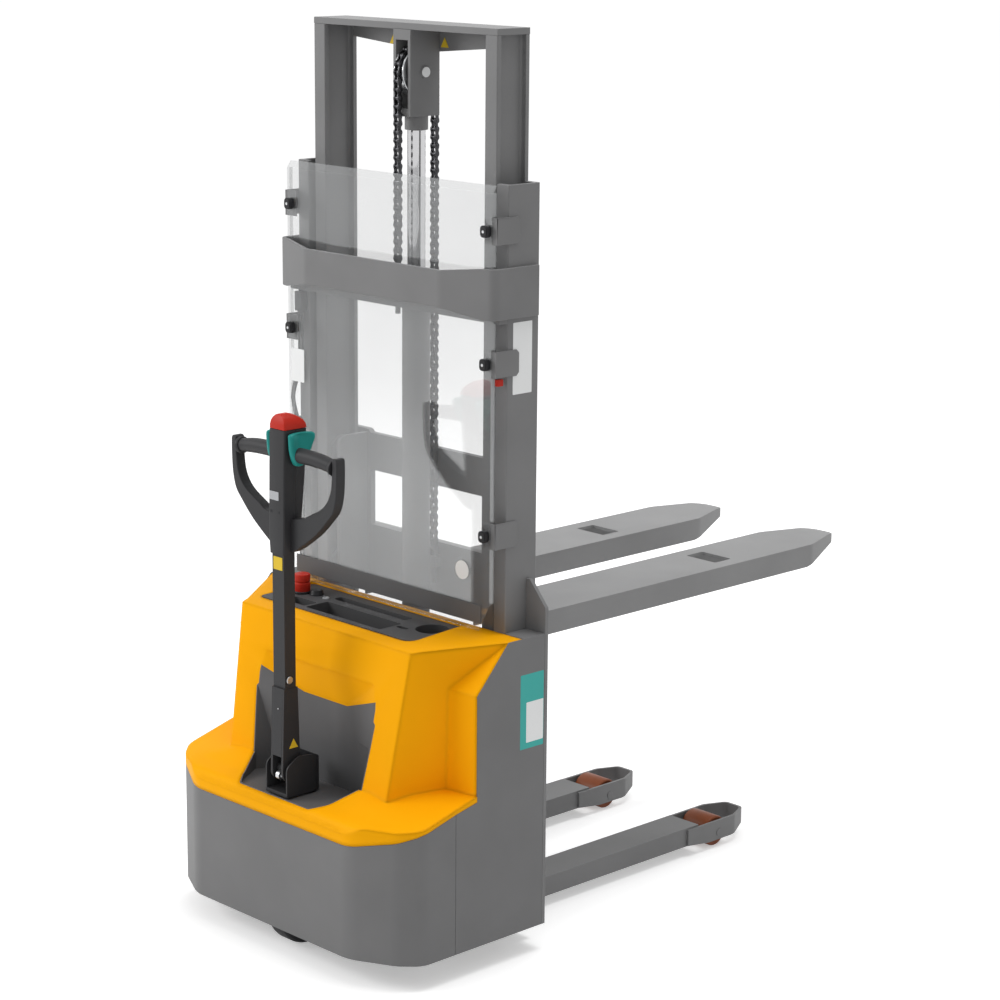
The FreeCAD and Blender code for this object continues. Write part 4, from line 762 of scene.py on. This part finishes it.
def pulley():
    low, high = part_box("chain_pulley")
    centre = (low + high) / 2
    radius = (high.z - low.z) / 2
    half = (high.x - low.x) / 2
    groove = radius - 0.0065
    profile = both_ends([(0.0143, -half), (0.020, -half), (0.022, -half + 0.002),
                         (radius - 0.014, -half + 0.002), (radius - 0.012, -half), (radius - 0.001, -half),
                         (radius, -half + 0.001), (radius, -0.0125), (groove, -0.0100)])
    piece("sheave", [lathe(profile, centre, (1, 0, 0), 72)], "steel_zinc", "chain_pulley",
          replaces=["chain_pulley"], smooth=30)


# Wheels

# name, node, then the tyre and the hub, each a slot and its outline up to the middle as
# (radius, inset from the side); a radius of 0 or less counts from the wheel's own radius
ROLLER = (("roller_brown", [(0.0255, 0.002), (-0.004, 0), (-0.001, 0.002), (0, 0.005)]),
          ("steel_zinc", [(0.01006, 0.003), (0.0155, 0.003), (0.016, 0.006), (0.0215, 0.006), (0.022, 0.0025),
                          (0.0252, 0.0025)]))
CASTOR = (("drive_tyre", [(0.0465, 0.003), (0.050, 0.002), (-0.006, 0.002), (-0.001, 0.007), (0, 0.011)]),
          ("steel_zinc", [(0.00806, 0), (0.018, 0), (0.021, 0.003), (0.023, 0.009), (0.041, 0.009),
                          (0.043, 0.003), (0.0462, 0.003)]))
DRIVE = (("drive_tyre", [(0.0690, 0.004), (0.074, 0.001), (-0.005, 0.001), (-0.001, 0.005), (0, 0.010)]),
         ("unit_dark", [(0.01506, 0), (0.036, 0), (0.040, 0.005), (0.062, 0.008), (0.064, 0.003),
                        (0.0687, 0.003)]))
WHEELS = (("roller_left", "load_roller_left", ROLLER), ("castor_left", "castor_wheel_left", CASTOR),
          ("roller_right", "load_roller_right", ROLLER), ("castor_right", "castor_wheel_right", CASTOR),
          ("drive", "drive_wheel", DRIVE))


def wheels():
    """Tyres and hubs turned about X; each wheel's body has its node's name."""
    for name, node, parts in WHEELS:
        low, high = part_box(node)
        centre = (low + high) / 2
        own_radius, half = (high.z - low.z) / 2, (high.x - low.x) / 2
        for part, (slot, outline), steps, replaced in zip(("tyre", "hub"), parts, (72, 48), ([node], ())):
            profile = both_ends([(r if r > 0 else own_radius + r, inset - half) for r, inset in outline])
            piece(name + "_" + part, [lathe(profile, centre, (1, 0, 0), steps)], slot, node,
                  replaces=replaced, smooth=30)


# Tiller head

GRIP_Y = -0.804


def head_section(half_x, front, rear, z, radius=0.006):
    outline = rounded(half_x, (rear - front) / 2, radius, 4, (0, (front + rear) / 2))
    return [Vector((u, v, z)) for u, v in outline]


def tiller_head():
    # height, half width, front and rear of the core, the face shell and the back shell beside the groove
    core = [(0.951, 0.0225, -0.830, -0.812), (0.985, 0.0245, -0.830, -0.796),
            (1.025, 0.0252, -0.830, -0.787), (1.142, 0.0257, -0.828, -0.776),
            (1.2335, 0.0257, -0.826, -0.772)]
    face = [(0.948, 0.0245, -0.838, -0.808), (0.975, 0.0262, -0.8385, -0.8035),
            (1.050, 0.0270, -0.8380, -0.8035), (1.150, 0.0272, -0.8362, -0.8035),
            (1.235, 0.0272, -0.8338, -0.8035)]
    back = [(0.978, 0.0256, -0.8015, -0.7965), (1.025, 0.0264, -0.8015, -0.7840),
            (1.142, 0.0270, -0.8015, -0.7730), (1.2345, 0.0270, -0.8015, -0.7685)]
    shapes = [loft([head_section(h, f, r, z, min(0.004, (r - f) * 0.45)) for z, h, f, r in levels])
              for levels in (core, face, back)]
    grip = [(0.018, 1.178, 0.0172), (0.050, 1.1785, 0.0176), (0.085, 1.1785, 0.0176), (0.115, 1.177, 0.0172),
            (0.140, 1.1742, 0.0163), (0.164, 1.1705, 0.0155)]
    hold = swept([(x, GRIP_Y, z, radius, radius) for x, z, radius in grip])
    flange = swept([(0.1580, GRIP_Y, 1.1716, 0.0180, 0.0180), (0.1605, GRIP_Y, 1.1712, 0.0200, 0.0200),
                    (0.1660, GRIP_Y, 1.1704, 0.0200, 0.0200)], steps=1)
    for shape in (hold, flange):
        shapes += [shape, mirrored(shape)]
    piece("handle", shapes, "dark_plastic", "tiller", replaces=["tiller_head"],
          smooth=40)
    outer = smooth_path([(0.018, 0.950), (0.045, 0.962), (0.109, 1.006), (0.153, 1.048), (0.173, 1.072),
                         (0.183, 1.108), (0.186, 1.150), (0.186, 1.187)], 4)
    inner = smooth_path([(0.169, 1.189), (0.168, 1.147), (0.160, 1.107), (0.135, 1.075), (0.085, 1.048),
                         (0.066, 1.038), (0.018, 1.030)], 4)
    loop = prism(outer + [(0.183, 1.1930), (0.173, 1.1935)] + inner, on_y, -0.817, -0.791)
    piece("handle_loops", [loop, mirrored(loop)], "dark_plastic", "tiller",
          bevel=0.0055, segments=4, smooth=25)


def tiller_cap():
    # height, half width, front and rear: a cap that keeps its corner ridge as it domes
    levels = [(1.2362, 0.0268, -0.8338, -0.7675), (1.2450, 0.0267, -0.8335, -0.7690),
              (1.2540, 0.0250, -0.8318, -0.7750), (1.2620, 0.0200, -0.8298, -0.7850),
              (1.2680, 0.0120, -0.8280, -0.7960), (1.2700, 0.0055, -0.8262, -0.8025)]
    shape = loft([head_section(h, f, r, z, min(0.0035, h * 0.5)) for z, h, f, r in levels])
    piece("cap", [shape], "red_plastic", "tiller", replaces=["tiller_button"],
          smooth=50, bevel=0.0008)


def butterflies():
    # height, front, rear, and how far the outer face stands from the head at its edges and at its middle
    grid = [
        (1.153, -0.812, -0.794, 0.017, 0.020), (1.160, -0.819, -0.788, 0.021, 0.023),
        (1.172, -0.825, -0.780, 0.023, 0.024), (1.184, -0.829, -0.771, 0.022, 0.019),
        (1.197, -0.831, -0.764, 0.021, 0.012), (1.210, -0.832, -0.757, 0.022, 0.009),
        (1.222, -0.833, -0.753, 0.022, 0.008), (1.231, -0.832, -0.760, 0.018, 0.007),
    ]
    # place from front to rear, and the parts that edge and middle have in the reach there
    across = ((0, 0, 0), (0.02, 0.75, 0), (0.10, 1, 0), (0.28, 0.5, 0.5), (0.5, 0, 1), (0.72, 0.5, 0.5),
              (0.90, 1, 0), (0.98, 0.75, 0), (1, 0, 0))
    rings = []
    for z, front, rear, edge, middle in grid:
        span = rear - front
        lift = 0.005 if z > 1.215 else 0.0
        ring = []
        for share, of_edge, of_middle in across:
            reach = edge * of_edge + middle * of_middle
            dip = -lift * (1 - abs(2 * share - 1) ** 2)
            ring.append(Vector((0.0268 + reach, front + span * share, z + dip)))
        rings.append(ring)
    shape = loft(rings)
    piece("butterfly", [shape, mirrored(shape)], "teal_plastic", "tiller",
          replaces=["tiller_controls"], smooth=60, subdivide=2)


def head_details():
    window = prism(rounded(0.0160, 0.0100, 0.0015, 3, (-0.007, 1.083)), on_y, -0.8384, -0.8370)
    piece("display", [window], "display", "tiller", bevel=0.0003)
    holes = [disc(0.0034, 0.0, 0.0010, (x, -0.8376, 1.046), (0, -1, 0), steps=20) for x in (-0.018, 0.009)]
    piece("screw_wells", holes, "black_plastic", "tiller")
    stalk_y = STALK_Y - 0.016
    band = prism(rounded(0.0155, 0.0150, 0.001, 3, (0.0, 0.9260)), on_y, stalk_y - 0.0008, stalk_y + 0.0002)
    piece("stalk_plate", [band], "sign_yellow", "tiller")


# Shield fixings

CLIP_ROWS = (1.687, 1.390, 0.997)
KNOB_X = 0.338


def shield_fixings():
    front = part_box("shield")[0].y
    sheet = 0.004
    for side, sign in (("left", -1), ("right", 1)):
        clip_low, clip_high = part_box("shield_clips_" + side)
        outer = max(abs(clip_low.x), abs(clip_high.x))
        inner = min(abs(clip_low.x), abs(clip_high.x))
        half = 0.030
        angles, knobs, studs = [], [], []
        for z in CLIP_ROWS:
            rear = clip_high.y
            leg = [(front + sheet, z - half), (rear - 0.008, z - half), (rear, z - half + 0.008),
                   (rear, z + half - 0.008), (rear - 0.008, z + half), (front + sheet, z + half)]
            angles.append(prism(leg, on_x, outer - 0.003, outer))
            angles.append(block(inner, outer, front + sheet, front + sheet + 0.003, z - half, z + half))
            body = prism(rounded(0.0120, 0.0135, 0.0085, 5, (KNOB_X, z)), on_y, front - 0.0120, front)
            cap = prism(rounded(0.0095, 0.0110, 0.0075, 5, (KNOB_X, z)), on_y, front - 0.0140, front - 0.0120)
            knobs += [body, cap]
            studs.append(disc(0.0034, 0.0, 0.0008, (KNOB_X, front - 0.0140, z), (0, -1, 0), 0.0003, 16))
        if sign < 0:
            angles, knobs, studs = ([mirrored(s) for s in group] for group in (angles, knobs, studs))
        piece("clip_angles_" + side, angles, "mast_grey", "root", bevel=0.0006,
              replaces=["shield_clips_" + side])
        piece("clip_knobs_" + side, knobs, "black_plastic", "root", bevel=0.0010)
        piece("clip_studs_" + side, studs, "steel_zinc", "root")


def shield_lip():
    """The dark strip along the foot of the sheet."""
    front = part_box("shield")[0].y
    strip = block(-0.326, 0.326, front - 0.0025, front - 0.0001, 0.790, 0.833)
    piece("shield_lip", [strip], "liner_grey", "root", bevel=0.0008)


# Controls on the tray

STOP_PLACE = (-0.252, -0.555, TRAY_TOP)
KEY_PLACE = (-0.2145, -0.541, TRAY_TOP)
LOCK_PLACE = (-0.173, -0.547, TRAY_TOP)


def stop_button():
    low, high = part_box("emergency_stop")
    collar = lathe([(1e-5, 0), (0.0215, 0), (0.0215, 0.004), (0.0200, 0.006), (1e-5, 0.006)],
                   STOP_PLACE, (0, 0, 1), 40)
    piece("stop_collar", [collar], "black_plastic", "root", replaces=["emergency_stop"])
    top = high.z - low.z
    cap = lathe([(1e-5, 0.0055), (0.0195, 0.0055), (0.0200, 0.007), (0.0200, 0.025), (0.0185, 0.027),
                 (0.0185, 0.029), (0.0200, 0.031), (0.0200, top - 0.004), (0.0188, top - 0.001),
                 (0.0165, top), (1e-5, top)],
                STOP_PLACE, (0, 0, 1), 48)
    piece("stop_cap", [cap], "red_plastic", "root", bevel=0.0006)


def locks():
    knob = lathe([(1e-5, 0), (0.0175, 0), (0.0175, 0.002), (0.0160, 0.004), (0.0150, 0.010), (0.0135, 0.012),
                  (1e-5, 0.012)], KEY_PLACE, (0, 0, 1), 36)
    piece("key_base", [knob], "black_plastic", "root", replaces=["key_switch"])
    lock = lathe([(1e-5, 0), (0.009, 0), (0.009, 0.002), (0.007, 0.003), (0.004, 0.003), (0.004, 0.0015),
                  (1e-5, 0.0015)], LOCK_PLACE, (0, 0, 1), 32)
    piece("tray_lock", [lock], "steel_zinc", "root")


# Lift switch and its cables

def switch_and_cables():
    low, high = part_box("lift_switch")
    x = (low.x + high.x) / 2
    body = block(low.x + 0.003, high.x - 0.003, low.y + 0.001, high.y, low.z + 0.012, high.z - 0.006)
    gland = lathe([(1e-5, 0), (0.006, 0), (0.0075, 0.002), (0.0075, 0.0045), (0.006, 0.005), (0.006, 0.0065),
                   (0.0075, 0.007), (0.0075, 0.010), (0.0085, 0.010), (0.0085, 0.013), (1e-5, 0.013)],
                  (x, (low.y + high.y) / 2, low.z), (0, 0, 1), 24)
    lever = block(x - 0.004, x + 0.004, low.y + 0.006, high.y - 0.004, high.z - 0.008, high.z)
    piece("switch_body", [body, gland, lever], "black_plastic", "root", bevel=0.001,
          replaces=["lift_switch"])
    low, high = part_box("switch_cables")
    y = (low.y + high.y) / 2
    runs = []
    for start, bulge in ((low.x + 0.003, 0.022), (high.x - 0.003, 0.026)):
        # height and how far the cable hangs out to the left there
        knots = [(high.z, 0), (1.310, 0), (1.265, bulge * 0.5), (1.215, bulge), (1.168, bulge * 0.6),
                 (1.125, 0), (low.z, 0)]
        runs.append(swept([(start - out, y - out * 0.2, z, 0.003, 0.003) for z, out in knots], around=12))
    piece("cables", runs, "cable_black", "root", replaces=["switch_cables"])
    clip = block(0.347, 0.357, -0.4915, -0.474, 1.340, 1.356)
    piece("cable_clip", [clip], "red_plastic", "root", bevel=0.001)


# Bolts at the tiller's foot

def foot_bolts():
    pivot = disc(0.0088, 0.0, 0.0030, (0.0213, -0.822, 0.652), (1, 0, 0), 0.0010, 28)
    stud = disc(0.0016, 0.0, 0.0010, (0.004, -0.8415, 0.584), (0, -1, 0), 0.0004, 14)
    piece("stalk_bolts", [pivot, stud], "steel_zinc", "tiller")
    eye = lathe(both_ends([(0.0042, -0.0065), (0.0105, -0.0055)]), (0.0, -0.8335, 0.4215), (1, 0, 0), 28)
    nut = disc(0.0050, -0.0090, 0.0090, (0.0, -0.8335, 0.4215), (1, 0, 0), 0.0010, 6)
    piece("spring_eye", [eye, nut], "steel_zinc", "steering", bevel=0.0006)


# Signs and plates, all blank

def triangle(u, v, size):
    return [(u - size / 2, v), (u + size / 2, v), (u, v + size * 0.87)]


def plate(name, centre, half_u, half_v, place, low, high, look):
    """A thin blank plate with rounded corners, fixed to the root."""
    piece(name, [prism(rounded(half_u, half_v, 0.002, 3, centre), place, low, high)], look, "root")


def signs():
    head_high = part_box("pulley_head")[1]
    web_y = head_high.y + 0.0004
    pair = [prism(triangle(x, 2.066, 0.026), on_y, web_y - 0.0009, web_y + 0.0004) for x in (-0.129, 0.046)]
    piece("head_signs", pair, "sign_yellow", "inner_mast")
    axle = disc(0.0118, 0.0, 0.0025, (head_high.x, -0.413, 2.012), (1, 0, 0), 0.0008, 32)
    piece("axle_end", [axle], "sign_white", "inner_mast")
    sleeve_x = STALK_HALF
    foot_sign = prism(triangle(-0.812, 0.488, 0.026), on_x, sleeve_x - 0.0002, sleeve_x + 0.0005)
    piece("foot_sign", [foot_sign], "sign_yellow", "tiller")
    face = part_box("outer_upright_right")[1].x
    plate("mast_sign", (-0.4195, 1.3985), 0.0295, 0.0815, on_x, face - 0.0002, face + 0.0006, "sign_white")
    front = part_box("shield")[0].y
    plate("data_plate", (-0.318, 1.300), 0.024, 0.040, on_y, front - 0.0006, front + 0.0002, "sign_white")
    round_sign = disc(0.022, 0.0, 0.0006, (0.262, front, 0.905), (0, -1, 0), steps=40)
    piece("round_sign", [round_sign], "sign_white", "root")
    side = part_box("side_panel_right")[1].x
    plate("side_band", (-0.440, 0.5935), 0.037, 0.0885, on_x, side - 0.0002, side + 0.00012, "sign_teal")
    plate("side_plate", (-0.431, 0.567), 0.027, 0.048, on_x, side - 0.0002, side + 0.00024, "sign_white")


# Stage, light and camera

def seen_rays(tree):
    """1 for rays that the viewer or a mirror sees directly, otherwise 0."""
    path = tree.nodes.new("ShaderNodeLightPath")
    seen = path.outputs["Is Camera Ray"]
    for output in ("Is Glossy Ray", "Is Transmission Ray"):
        either = tree.nodes.new("ShaderNodeMath")
        either.operation = "MAXIMUM"
        tree.links.new(seen, either.inputs[0])
        tree.links.new(path.outputs[output], either.inputs[1])
        seen = either.outputs["Value"]
    return seen


def stage():
    """A white floor that keeps a soft shadow near the machine and fades to plain white round it."""
    floor_mesh = bpy.data.meshes.new("floor")
    reach = 60.0
    corners = [(-reach, -reach, 0), (reach, -reach, 0), (reach, reach, 0), (-reach, reach, 0)]
    floor_mesh.from_pydata(corners, [], [(0, 1, 2, 3)])
    floor = bpy.data.objects.new("floor", floor_mesh)
    bpy.context.scene.collection.objects.link(floor)
    material = bpy.data.materials.new("floor")
    material.use_nodes = True
    tree = material.node_tree
    base = tree.nodes["Principled BSDF"]
    base.inputs["Base Color"].default_value = FLOOR_GREY + (1,)
    base.inputs["Roughness"].default_value = 0.9
    base.inputs["Specular IOR Level"].default_value = 0.0
    place = tree.nodes.new("ShaderNodeTexCoord")
    away = tree.nodes.new("ShaderNodeVectorMath")
    away.operation = "LENGTH"
    tree.links.new(place.outputs["Object"], away.inputs[0])
    fade = tree.nodes.new("ShaderNodeMapRange")
    fade.inputs["From Min"].default_value = GLOW_FROM
    fade.inputs["From Max"].default_value = GLOW_TO
    fade.inputs["To Min"].default_value = FLOOR_GLOW
    fade.inputs["To Max"].default_value = FAR_GLOW
    tree.links.new(away.outputs["Value"], fade.inputs["Value"])
    share = tree.nodes.new("ShaderNodeMath")
    share.operation = "MULTIPLY"
    tree.links.new(seen_rays(tree), share.inputs[0])
    tree.links.new(fade.outputs["Result"], share.inputs[1])
    glow = tree.nodes.new("ShaderNodeEmission")
    tree.links.new(share.outputs["Value"], glow.inputs["Strength"])
    both = tree.nodes.new("ShaderNodeAddShader")
    out = tree.nodes["Material Output"]
    tree.links.new(base.outputs["BSDF"], both.inputs[0])
    tree.links.new(glow.outputs["Emission"], both.inputs[1])
    tree.links.new(both.outputs["Shader"], out.inputs["Surface"])
    floor.data.materials.append(material)


def sky():
    world = bpy.data.worlds.new("studio")
    bpy.context.scene.world = world
    world.use_nodes = True
    tree = world.node_tree
    back = tree.nodes["Background"]
    back.inputs["Color"].default_value = (1, 1, 1, 1)
    level = tree.nodes.new("ShaderNodeMapRange")
    level.inputs["To Min"].default_value = SKY
    level.inputs["To Max"].default_value = 1.0
    tree.links.new(seen_rays(tree), level.inputs["Value"])
    tree.links.new(level.outputs["Result"], back.inputs["Strength"])


def lamp(name, place, target, size, power):
    data = bpy.data.lights.new(name, "AREA")
    data.shape = "SQUARE"
    data.size = size
    data.energy = power
    obj = bpy.data.objects.new(name, data)
    bpy.context.scene.collection.objects.link(obj)
    obj.location = place
    obj.rotation_euler = (Vector(target) - Vector(place)).to_track_quat("-Z", "Y").to_euler()


def camera():
    forward = Vector((-math.sin(CAMERA_AZIMUTH) * math.cos(CAMERA_ELEVATION),
                      math.cos(CAMERA_AZIMUTH) * math.cos(CAMERA_ELEVATION), -math.sin(CAMERA_ELEVATION)))
    right = Vector((math.cos(CAMERA_AZIMUTH), math.sin(CAMERA_AZIMUTH), 0))
    up = right.cross(forward)
    turned_right = right * math.cos(CAMERA_ROLL) + up * math.sin(CAMERA_ROLL)
    turned_up = up * math.cos(CAMERA_ROLL) - right * math.sin(CAMERA_ROLL)
    data = bpy.data.cameras.new("camera")
    data.sensor_width = SENSOR
    data.lens = CAMERA_LENS
    obj = bpy.data.objects.new("camera", data)
    bpy.context.scene.collection.objects.link(obj)
    axes = Matrix((turned_right, turned_up, -forward)).transposed().to_4x4()
    obj.matrix_world = Matrix.Translation(CAMERA_PLACE) @ axes
    bpy.context.scene.camera = obj


dress_solids()
skirt()
cover_and_liner()
tray()
hinge_hood()
stalk()
chains()
pulley()
wheels()
tiller_head()
tiller_cap()
butterflies()
head_details()
shield_fixings()
shield_lip()
stop_button()
locks()
switch_and_cables()
foot_bolts()
signs()
stage()
sky()
for row in LAMPS:
    lamp(*row)
camera()
bpy.context.scene.view_settings.view_transform = "Standard"
